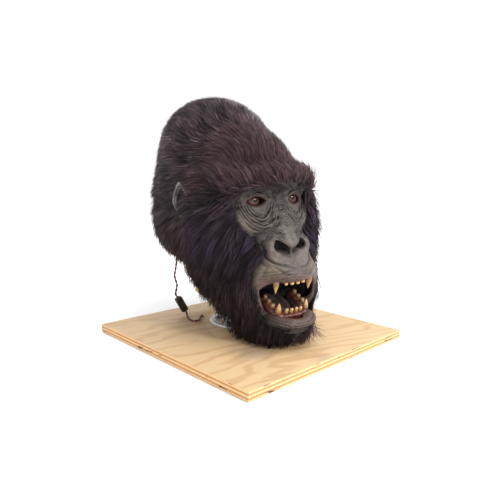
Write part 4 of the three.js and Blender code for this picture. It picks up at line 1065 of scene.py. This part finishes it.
JAW_OPEN = math.radians(26)
CANINE_HOOK = 2.6 * MM
GROOVE_WIDE, GROOVE_DEEP = 1.4 * MM, 1.3 * MM
GUM_STEP = 1.3 * MM
COLLAR_AWAY, COLLAR_WIDE, COLLAR_HIGH = 4.6 * MM, 1.9 * MM, 1.7 * MM
head_up = Vector((math.sin(LEAN), 0, math.cos(LEAN)))
upper_axis = -head_up
lower_axis = Matrix.Rotation(JAW_OPEN, 3, "X") @ head_up

tooth_ivory = Finish("tooth_ivory", Coat_Weight=0.35, Coat_Roughness=0.12)
at = tooth_ivory.place()
stain = tooth_ivory.noise(at, 240, 5, 0.6)
towards_tip = tooth_ivory.carried("tip")
_, backward, _ = tooth_ivory.parts(at)
tone = tooth_ivory.mix(towards_tip.between(0.15, 0.95), (0.16, 0.062, 0.022), (0.60, 0.39, 0.15))
tone = tooth_ivory.mix(stain.between(0.42, 0.72) * 0.65, tone, (0.27, 0.125, 0.04))
# painted shade: the teeth further back in the mouth are darkened
tone = tooth_ivory.mix(backward.between(-0.118, -0.094) * 0.82, tone, (0.12, 0.058, 0.022))
tooth_ivory.surface({"Base Color": tone, "Roughness": 0.24 + stain * 0.2})
tooth_ivory.bump(tooth_ivory.noise(tooth_ivory.place(scale=(1, 1, 0.3)), 900, 3), 0.0003, 0.4)

tooth_feet = {"upper": [], "lower": []}
for node in sorted(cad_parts):
    jaw = node.split("_")[0]
    if jaw not in tooth_feet or node.endswith("gum"):
        continue
    axis = upper_axis if jaw == "upper" else lower_axis
    tooth = copy_of_node(node, "tooth_" + node)
    modifier(tooth, "SUBSURF", levels=2, render_levels=2)
    points = points_of(tooth)
    middle = points.mean(axis=0)
    rise = (points - middle) @ np.array(axis)
    share = (rise - rise.min()) / (rise.max() - rise.min())
    canine = "canine" in node
    spread = (1.3 - 0.45 * share if canine else 1.1 - 0.12 * share)[:, None]
    taller = 1.03 if jaw == "lower" or canine else 0.8
    foot = rise.min()
    aside = points - middle - np.outer(rise, axis)
    points = middle + np.outer(foot + (rise - foot) * taller, axis) + aside * spread
    if canine:
        points += np.outer(share ** 2, (0, CANINE_HOOK, 0))
    elif "cheek" in node:
        groove = np.exp(-(((points - middle)[:, 0]) / GROOVE_WIDE) ** 2) * ease(share, 0.75, 1.0)
        points -= np.outer(groove * GROOVE_DEEP, axis)
    move_points(tooth, points)
    carry(tooth, "tip", share)
    tooth_feet[jaw].append(middle + np.array(axis) * rise.min())
    belongs(tooth, "tooth", tooth_ivory, replaces=[node])

gum_resin = Finish("gum_resin", Coat_Weight=0.3, Coat_Roughness=0.2)
veins = gum_resin.noise(gum_resin.place(), 130, 5)
gum_resin.surface({
    "Base Color": gum_resin.mix(veins.between(0.35, 0.7), (0.075, 0.020, 0.015), (0.19, 0.065, 0.045)),
    "Roughness": 0.3 + veins * 0.2,
})
gum_resin.bump(veins, 0.0008, 0.5)
for jaw, axis in (("upper", upper_axis), ("lower", lower_axis)):
    gum = copy_of_node(f"{jaw}_gum", f"gum_{jaw}")
    alone(gum)
    gum.data.remesh_voxel_size = GUM_STEP
    bpy.ops.object.voxel_remesh()
    modifier(gum, "SMOOTH", factor=0.5, iterations=6)
    points = points_of(gum)
    swell = np.zeros(len(points))
    for foot in tooth_feet[jaw]:
        away = points - foot
        level = away @ np.array(axis)
        aside = np.linalg.norm(away - np.outer(level, axis), axis=1)
        collar = np.exp(-((aside - COLLAR_AWAY) / COLLAR_WIDE) ** 2) * ease(level, -5 * MM, -0.5 * MM)
        swell = np.maximum(swell, collar)
    points += np.outer(swell * COLLAR_HIGH, axis)
    move_points(gum, points)
    belongs(gum, "gum", gum_resin, replaces=[f"{jaw}_gum"])

TONGUE_SIZE = Vector((34, 70, 12)) * MM
bpy.ops.mesh.primitive_uv_sphere_add(segments=64, ring_count=40, radius=0.5)
tongue = bpy.context.object
tongue.name = "tongue_cast"
for vertex in tongue.data.vertices:
    x, y, z = vertex.co
    groove = math.exp(-(x / 0.09) ** 2) * max(0.0, z) * 0.5
    lumps = 0.03 * math.sin(x * 17 + 1) * math.sin(y * 13)
    vertex.co = (x * TONGUE_SIZE.x * (1 - 0.18 * y), y * TONGUE_SIZE.y, (z - groove + lumps) * TONGUE_SIZE.z)
tongue.data.transform(Matrix.Rotation(JAW_OPEN * 0.5, 4, "X"))
tongue.data.transform(Matrix.Translation(Vector(on_stand([in_head(0, -0.2, 0.165)])[0])))
tongue.data.shade_smooth()
tongue_dark = Finish("tongue_latex", Coat_Weight=0.4, Coat_Roughness=0.25)
buds = tongue_dark.cells(tongue_dark.place(), 620)
soft = tongue_dark.noise(tongue_dark.place(), 90, 4)
tongue_dark.surface({
    "Base Color": tongue_dark.mix(soft.between(0.35, 0.7), (0.028, 0.018, 0.020), (0.085, 0.05, 0.052)),
    "Roughness": 0.34 + soft * 0.25,
})
tongue_dark.bump(buds * 0.6 + soft, 0.0008, 0.6)
belongs(tongue, "tongue_latex", tongue_dark, replaces=["tongue"])


# Ears
# Thin cast latex shells with a pointed, rolled rim and an inner fold. They are glued to the backing and stand
# half buried in the fur of the temples.
EAR = in_head(0.55, 0.12, 0.575)
EAR_HALF = np.array((15.0, 17.0, 28.0))
EAR_POINT = 1.25
EAR_SUNK = 3.0
EAR_LEAN, EAR_TURN = math.radians(-8), math.radians(-24)
EAR_RIM, EAR_FOLD = (0.9, 3, 1.5), (0.64, 2.5, 1.2)
EAR_STEP = 1.0
ear_box = EAR_HALF + 6
ear_grid = grid_over(-ear_box, ear_box, EAR_STEP)
ear_x, ear_y, ear_z = ear_grid[..., 0], ear_grid[..., 1], ear_grid[..., 2]


def past_ball(centre, half):
    away = (ear_grid - np.array(centre, np.float32)) / np.array(half, np.float32)
    near = np.linalg.norm(away, axis=-1)
    slope = np.linalg.norm(away / np.array(half, np.float32), axis=-1)
    return near * (near - 1) / np.maximum(slope, 1e-5)


def past_rim(share, at_depth, thick):
    """A rolled cord that follows the ear's pointed outline at a share of its size."""
    backward, upward = np.abs(ear_y) / (EAR_HALF[1] * share), np.abs(ear_z) / (EAR_HALF[2] * share)
    round_about = (backward ** EAR_POINT + upward ** EAR_POINT) ** (1 / EAR_POINT)
    return np.hypot((round_about - 1) * EAR_HALF[1] * share, ear_x - at_depth) - thick


bowl = cut_softly(past_ball((0, 0, 0), EAR_HALF - 1.5), past_ball((3.5, 0, 0), EAR_HALF - 3.5), 1)
bowl = np.maximum(bowl, ear_x - 3)
bowl = np.maximum(bowl, past_rim(0.97, ear_x, 0.0) - 0.5)
rolled = np.maximum(past_rim(*EAR_RIM), -ear_y - 14)
inner_fold = np.maximum(past_rim(*EAR_FOLD), -ear_y - 2)
ear_shape = join_softly(join_softly(bowl, rolled, 3), inner_fold, 3)
ear_shape = join_softly(ear_shape, past_ball((1, -12, -6), (4, 4, 7)), 4)
ear_points, ear_faces = skin_over(ear_shape, -ear_box, EAR_STEP)
# painted shade: dark in the ear's hollow and on its back, lighter towards the rim and fold
lit_rim_share = ease(ear_points[:, 0], -2, 3.5)
ear_latex = Finish("ear_latex")
soft = ear_latex.noise(ear_latex.place(), 80, 5)
ear_tone = ear_latex.mix(soft.between(0.3, 0.7), (0.09, 0.085, 0.084), (0.22, 0.21, 0.205))
# painted shade in the hollow, lighter on the rim and fold
ear_latex.surface({
    "Base Color": ear_latex.mix(ear_latex.carried("rim"), (0.022, 0.018, 0.019), ear_tone),
    "Roughness": 0.42 + soft * 0.2,
})
ear_latex.bump(ear_latex.noise(ear_latex.place(), 500, 4), 0.0006, 0.5)
for side_name, side in (("right", -1), ("left", 1)):
    turn = Matrix.Rotation(EAR_LEAN, 3, "X") @ Matrix.Rotation(EAR_TURN * side, 3, "Z")
    placed = (ear_points * (side, 1, 1)) @ np.array(turn).T + (EAR - (EAR_SUNK, 0, 0)) * (side, 1, 1)
    ear = from_points(f"ear_shell_{side_name}", on_stand(placed), ear_faces[:, ::side])
    carry(ear, "rim", lit_rim_share)
    belongs(ear, "latex", ear_latex, replaces=[f"ear_{side_name}"])


# Hood
# A padded stretch-fabric backing with dense dark underfur, open below for the head. It carries the long fur
# and is glued to the edge of the face.
HOOD_STEP = 5.0
PADDING = 5
FACE_GAP, HEM_GAP, MOUTH_GAP = 1.5, 3, 3
hood_low = in_head(-0.8, -0.42, -0.02)
hood_high = in_head(0.8, 0.84, 1.1)
hood_grid = grid_over(hood_low, hood_high, HOOD_STEP)
hood_fur = fur(hood_grid)
room = np.maximum(past_forms(hood_grid, HOLLOW), hood_fur + fur_depth(hood_grid) * 0.6 + PADDING)
under = hood_fur + fur_depth(hood_grid) * 0.5
below_hem = past_hem(hood_grid[0, :, :, 1], hood_grid[0, :, :, 2])[None, :, :]
backing = np.maximum(under, -room)
backing = np.maximum(backing, FACE_GAP - past_bare_skin(hood_grid))
backing = np.maximum(backing, HEM_GAP - below_hem)
backing = np.maximum(backing, HEAD_FOOT + ABOVE_BOARD - hood_grid[..., 2])
backing = np.maximum(backing, MOUTH_GAP - past_mouth(hood_grid))
hood_points, hood_faces = skin_over(backing, hood_low, HOOD_STEP)
hood = from_points("hood_backing", on_stand(hood_points), hood_faces)
underfur = Finish("underfur", Roughness=0.9)
fluff = underfur.noise(underfur.place(scale=(1, 0.35, 0.6)), 420, 5)
underfur.surface({
    "Base Color": underfur.mix(fluff.between(0.3, 0.7), (0.006, 0.004, 0.005), (0.028, 0.018, 0.020))})
underfur.bump(fluff, 0.003, 0.8)
belongs(hood, "fur", underfur, replaces=["fur_hood"])


# Fur
# Long synthetic fur in many fine tapering strands that gather into locks. It sweeps up from the brow and back
# over the crest, back and down the sides, and hangs from the cheeks, throat and nape, where it is ragged.
rng = np.random.default_rng(46)
STRAND_STEP = 5.0
STRAND_WIDE = 0.58
ROOT_DEPTH = 0.62
CROWN_LENGTH, SIDE_EXTRA, NAPE_EXTRA = 22, 20, 12
THROAT_SHORTER = 0.62
EAR_CLEAR = (14, 12, 21)
CLUMPS = 3600
CLUMP_STRAY, STRAND_STRAY = 0.2, 0.07
LOCK_PULL = 0.42
WISPS, WISP_REACH, WISP_SAG = 220, 36, 0.18
DARK, BROWN, RUST, PLUM, GREY = (np.array(colour) for colour in (
    (0.013, 0.008, 0.010), (0.135, 0.080, 0.094), (0.165, 0.076, 0.079), (0.064, 0.037, 0.126),
    (0.24, 0.19, 0.21)))


def coat(points):
    """The fur's outer surface, which also covers the edge of the face."""
    return join_softly(fur(points), skin(points) - 3, 8)


def past_bare_face(points):
    """How far points lie outside the bare part of the face, with a ragged edge."""
    x, y, z = points[..., 0], points[..., 1], points[..., 2]
    ragged = 2.2 * np.sin(x * 0.5 + z * 0.9) * np.sin(z * 0.43 + 1) + 1.4 * np.sin(x * 1.3 - z * 1.1)
    return past_hair_line(x, y, z) + ragged


coat_grid = grid_over(hood_low, hood_high, STRAND_STEP)
coat_points, coat_faces = skin_over(coat(coat_grid), hood_low, STRAND_STEP)
coat_faces = triangles(coat_faces)


def flow_at(points, normals):
    """The way the fur lies, along the surface."""
    height, back = height_and_back(points)
    fall = math.radians(82) * np.clip((0.84 - height) / 0.66, 0, 1) ** 0.8
    front = ease(-back, 0.03, 0.16)
    brow = front * ease(height, 0.585, 0.64)
    x, y, z = points.T
    still = np.zeros(len(points))
    flow = np.column_stack([still, np.cos(fall), -np.sin(fall)])
    lifted = np.column_stack([0.35 * x / 60, still + 0.55, still + 0.85])
    flow += (lifted - flow) * brow[:, None]
    cheek = front * (1 - ease(height, 0.42, 0.56))
    flow += np.column_stack([0.3 * np.sign(x), still - 0.15, still - 0.35]) * cheek[:, None]
    waves = np.column_stack([
        np.sin(y * 0.045 + z * 0.03 + 1.3), np.sin(x * 0.06 - z * 0.05 + 0.4),
        np.sin(x * 0.05 + y * 0.055 + 2.1)])
    waves += np.column_stack([
        np.sin(y * 0.14 + z * 0.1), np.sin(x * 0.17 + z * 0.12 + 2), np.sin(y * 0.13 - x * 0.15 + 4)]) * 0.6
    flow = flow + waves * 0.22
    flow -= normals * (flow * normals).sum(axis=1)[:, None]
    return unit_rows(flow)


def scatter(count, kept=None):
    """Places on the fur's surface, evenly by area, and where a part of the head is given, on that part."""
    corners = coat_points[coat_faces]
    crossed = np.cross(corners[:, 1] - corners[:, 0], corners[:, 2] - corners[:, 0])
    area = np.linalg.norm(crossed, axis=1)
    if kept:
        middle = corners.mean(axis=1)
        area = area * (kept(middle) & (middle[:, 2] > HEAD_FOOT - 3) & (past_bare_face(middle) > -4))
    chosen = rng.choice(len(area), count, p=area / area.sum())
    a, b = rng.random((2, count, 1))
    over = (a + b) > 1
    a, b = np.where(over, 1 - a, a), np.where(over, 1 - b, b)
    c = corners[chosen]
    return (c[:, 0] + a * (c[:, 1] - c[:, 0]) + b * (c[:, 2] - c[:, 0])).astype(np.float32)


def grows(points):
    """Where the fur grows: off the bare face, the ears, the mouth and the hem."""
    right_ear, left_ear = (
        np.linalg.norm((points - EAR * (side, 1, 1)) / EAR_CLEAR, axis=1) for side in (-1, 1))
    return (
        (past_bare_face(points) > 0) & (right_ear > 1) & (left_ear > 1)
        & (past_hem(points[:, 1], points[:, 2]) > 1)
        & (points[:, 2] > HEAD_FOOT + 4) & (past_mouth(points) > 4))


def strand_length(points):
    height, back = height_and_back(points)
    length = CROWN_LENGTH + SIDE_EXTRA * ease(0.86 - height, 0, 0.35)
    length += NAPE_EXTRA * ease(back, 0.3, 0.6) * ease(0.6 - height, 0, 0.2)
    at_throat = 1 - ease(back, 0.28, 0.42)
    above_hem = ease(past_hem(points[:, 1], points[:, 2]), 4, 34)
    length *= 1 - THROAT_SHORTER * at_throat * (1 - above_hem)
    near_face = 1 - ease(past_bare_face(points), 0, 26)
    return length * (1 - 0.45 * near_face * (height > 0.42)) * (1 - 0.15 * (height < 0.2))


clump_roots = scatter(CLUMPS)
clump_normals = outward(coat, clump_roots)
clump_flow = flow_at(clump_roots, clump_normals)
clump_jitter = rng.normal(0, 1, (CLUMPS, 3)) * CLUMP_STRAY
clump_tone = rng.random(CLUMPS)
clumps = kdtree.KDTree(CLUMPS)
for i, root in enumerate(clump_roots):
    clumps.insert(root, i)
clumps.balance()


def hold(points, level):
    """Moves points along the fur's outward direction until they lie at a level above or below its surface."""
    for _ in range(2):
        points = points + outward(coat, points) * (level - coat(points))[:, None] * 0.85
    return points


def spikes(name, line, side, upward, wide):
    """Closed three-sided spikes along lines, so wide at each ring and pointed at the end."""
    count, rings = wide.shape
    corners = []
    for angle in np.radians((330, 210, 90)):
        offset = side * math.cos(angle) + upward * math.sin(angle)
        corners.append(line[:, :rings] + offset * wide[..., None])
    rows = np.stack(corners, axis=2).reshape(count, 3 * rings, 3)
    points = np.concatenate([rows, line[:, -1:]], axis=1)
    one = [(0, 2, 1)]
    for ring in range(rings - 1):
        for k in range(3):
            a, b = 3 * ring + k, 3 * ring + (k + 1) % 3
            one += [(a, b, b + 3), (a, b + 3, a + 3)]
    for k in range(3):
        one.append((3 * (rings - 1) + k, 3 * (rings - 1) + (k + 1) % 3, 3 * rings))
    faces = np.arange(count)[:, None, None] * (3 * rings + 1) + np.array(one)[None]
    return from_points(name, on_stand(points.reshape(-1, 3)), faces.reshape(-1, 3))


def strands(name, wanted, kept, rings, widen=1.0, lengthen=1.0):
    """One piece of fur: tapering strands, each bent along the flow and drawn to its lock."""

    def in_part(places):
        x, y, z = places.T
        return kept(x / HEAD_WIDTH, y / HEAD_LENGTH, (z - HEAD_FOOT) / HEAD_HEIGHT)

    roots = scatter(wanted, in_part)
    roots = roots[grows(roots)]
    count = len(roots)
    nearest = np.array([clumps.find(root)[1] for root in roots])
    own_clump = clump_tone[nearest]
    depth = fur_depth(roots)
    length = strand_length(roots) * lengthen * rng.uniform(0.72, 1.18, count) * (0.85 + 0.3 * own_clump)
    line = [hold(roots, -ROOT_DEPTH * depth)]
    smooth = 1 - 0.55 * ease(height_and_back(roots)[0], 0.58, 0.74)
    stray = rng.normal(0, STRAND_STRAY, (count, 3)) + clump_jitter[nearest] * smooth[:, None]
    lift = 2.2 * own_clump - 1.2 + 9 * rng.random(count) ** 5
    for step in range(1, rings + 1):
        share = step / rings
        here = line[-1]
        normals = outward(coat, here)
        flow = flow_at(here, normals) + stray
        following = here + flow * (length / rings)[:, None]
        to_lock = clump_roots[nearest] + clump_flow[nearest] * (length * share)[:, None] - following
        to_lock -= normals * (to_lock * normals).sum(axis=1)[:, None]
        following = following + to_lock * (LOCK_PULL * share * smooth)[:, None]
        level = -ROOT_DEPTH * depth * (1 - share) ** 1.3 + share * smooth * lift
        line.append(hold(following.astype(np.float32), level))
    line = np.stack(line, axis=1)
    lowest = HEAD_FOOT + 1.4
    on_board = lowest + rng.random((count, 1)) * 1.5
    line[..., 2] = np.where(line[..., 2] < lowest, on_board, line[..., 2])
    along = unit_rows(np.gradient(line, axis=1))
    normals = outward(coat, line[:, 1].astype(np.float32))
    side = unit_rows(np.cross(along, normals[:, None, :]))
    upward = np.cross(side, along) * 0.7
    wide = STRAND_WIDE * widen * rng.uniform(0.65, 1.35, count)
    taper = np.array([0.7, 1.0, 0.72] if rings > 2 else [0.8, 0.85])
    piece = spikes(name, line, side[:, :rings], upward[:, :rings], wide[:, None] * taper)
    share_along = np.append(np.repeat(np.arange(rings) / rings, 3), 1.0)
    carry(piece, "tint", strand_tints(roots, nearest, share_along).reshape(-1, 3))
    belongs(piece, "fur", fur_finish)


def strand_tints(roots, nearest, share_along):
    """Colours along each strand: rusty at the brow, plum on the cheeks, else brown, with a few grey hairs;
    painted shade at the root, low at the front and at the back of the neck, and painted highlight on the
    crest and in single strands.
    """
    count = len(roots)
    height, back = height_and_back(roots)
    own = np.clip(0.65 * clump_tone[nearest] + 0.35 * rng.random(count), 0, 1) ** 2.1
    tone = DARK + (BROWN - DARK) * own[:, None]
    rusty = ease(-back, -0.12, 0.14) * within(height, (0.58, 0.66), (0.82, 0.95)) * 0.75
    tone += (RUST - tone) * (rusty * (0.35 + 0.65 * own))[:, None]
    plum = np.exp(-((height - 0.47) / 0.12) ** 2) * ease(-back, -0.1, 0.1) * 0.7
    tone += (PLUM - tone) * (plum * own)[:, None]
    # a few real grey hairs, and a painted sheen that greys the crest
    grey_hairs_and_crest_sheen = (rng.random(count) > 0.93) * 0.6 + ease(height, 0.6, 0.8) * 0.12
    tone += (GREY - tone) * (grey_hairs_and_crest_sheen * own)[:, None]
    # painted shade low at the front and at the back of the neck, painted highlight on the crest and in single
    # glinting strands
    shaded = ease(0.5 - height, 0, 0.14) * ease(0.3 - back, 0, 0.3)
    lit = ease(height, 0.66, 0.86) * (1 - ease(-back, 0.02, 0.15))
    back_of_neck_shade = ease(back, 0.3, 0.6) * ease(0.75 - height, 0, 0.15)
    glint = np.where(rng.random(count) > 0.8, 1.1, -0.27)
    glint = glint * ease(height, 0.4, 0.6) * (1 - 0.5 * ease(-back, 0.0, 0.12))
    tone = tone * ((0.9 - 0.3 * shaded + 0.6 * lit - 0.2 * back_of_neck_shade) * (1 + glint))[:, None]
    # painted shade deep in the fur: each strand is darker at its root
    root_shade_to_tip = 0.35 + 0.85 * share_along ** 0.8
    return tone[:, None, :] * root_shade_to_tip[None, :, None]


fur_finish = Finish("fur_strands", Roughness=0.5, Specular_IOR_Level=0.22)
tint = fur_finish.carried("tint", 0)
streak = fur_finish.noise(fur_finish.place(), 300, 3)
fur_finish.surface({
    "Base Color": fur_finish.mix(streak.between(0.35, 0.75) * 0.3, tint, (0.012, 0.008, 0.010))})

strands("fur_crest", 17500, lambda x, y, z: z > 0.7, 2, 1.0, 1.15)
strands("fur_right", 11500, lambda x, y, z: (z <= 0.7) & (x < 0) & (y < 0.5) & (z > 0.22), 3)
strands("fur_left", 10500, lambda x, y, z: (z <= 0.7) & (x >= 0) & (y < 0.5) & (z > 0.22), 3)
strands("fur_nape", 10500, lambda x, y, z: (z <= 0.7) & (y >= 0.5), 3, 1.1)
strands("fur_beard", 9500, lambda x, y, z: (z <= 0.22) & (y < 0.5), 3, 0.9)

# a few thin stray hairs stand out from the chin
roots = in_head(0.03, -0.33, 0.07) + rng.uniform(-1, 1, (WISPS, 3)) * (26, 6, 5)
way = unit_rows(np.array((0.62, -0.5, -0.42)) + rng.normal(0, 0.28, (WISPS, 3)))
reach = rng.uniform(0.45, 1, WISPS)[:, None] * WISP_REACH
line = np.stack([roots, roots + way * reach * 0.5, roots + (way - (0, 0, WISP_SAG)) * reach], axis=1)
line[..., 2] = np.maximum(line[..., 2], HEAD_FOOT + ABOVE_BOARD)
side = unit_rows(np.cross(way, (0.2, 0.1, 1.0)))
upward = np.cross(side, way)
wisps = spikes("wisps_chin", line, side[:, None], upward[:, None], np.tile((0.32, 0.24), (WISPS, 1)))
carry(wisps, "tint", np.tile(BROWN * 0.6, (len(wisps.data.vertices), 1)))
belongs(wisps, "fur", fur_finish)


# Floor and light
# A pale seamless floor and an even white room, with a small light in front and to the camera's right, a soft
# one above, and a wide one behind.
FLOOR_SIDE, FLOOR_LEVEL = 60, -0.5 * MM
ROOM_LIGHT = 1.05
bpy.ops.mesh.primitive_plane_add(size=FLOOR_SIDE, location=(0, 0, FLOOR_LEVEL))
floor = bpy.context.object
floor.name = "studio_floor"
pale = two_tone(
    "studio_paper", 3, 0.3, 0.7, (0.965, 0.965, 0.965), (0.975, 0.975, 0.975),
    Roughness=0.95, Specular_IOR_Level=0.0)
floor.data.materials.append(pale.material)
world = bpy.data.worlds.new("studio")
bpy.context.scene.world = world
world.use_nodes = True
background = world.node_tree.nodes["Background"]
background.inputs["Color"].default_value = (1, 1, 1, 1)
background.inputs["Strength"].default_value = ROOM_LIGHT
bpy.context.scene.view_settings.view_transform = "Standard"
LIGHTS = [  # name, place, aim, side and watts
    ("key_light", (0.42, -1.3, 0.72), (0, 0, 0.2), 0.18, 15),
    ("top_light", (0.3, -0.4, 1.7), (0, 0, 0.2), 0.8, 14),
    ("back_light", (0.4, 1.6, 1.5), (0, 0, 0.25), 1.2, 10),
]
for name, place, aim, size, power in LIGHTS:
    lamp = bpy.data.objects.new(name, bpy.data.lights.new(name, "AREA"))
    bpy.context.scene.collection.objects.link(lamp)
    lamp.data.size = size
    lamp.data.energy = power
    lamp.location = place
    lamp.rotation_euler = (Vector(aim) - Vector(place)).to_track_quat("-Z", "Y").to_euler()
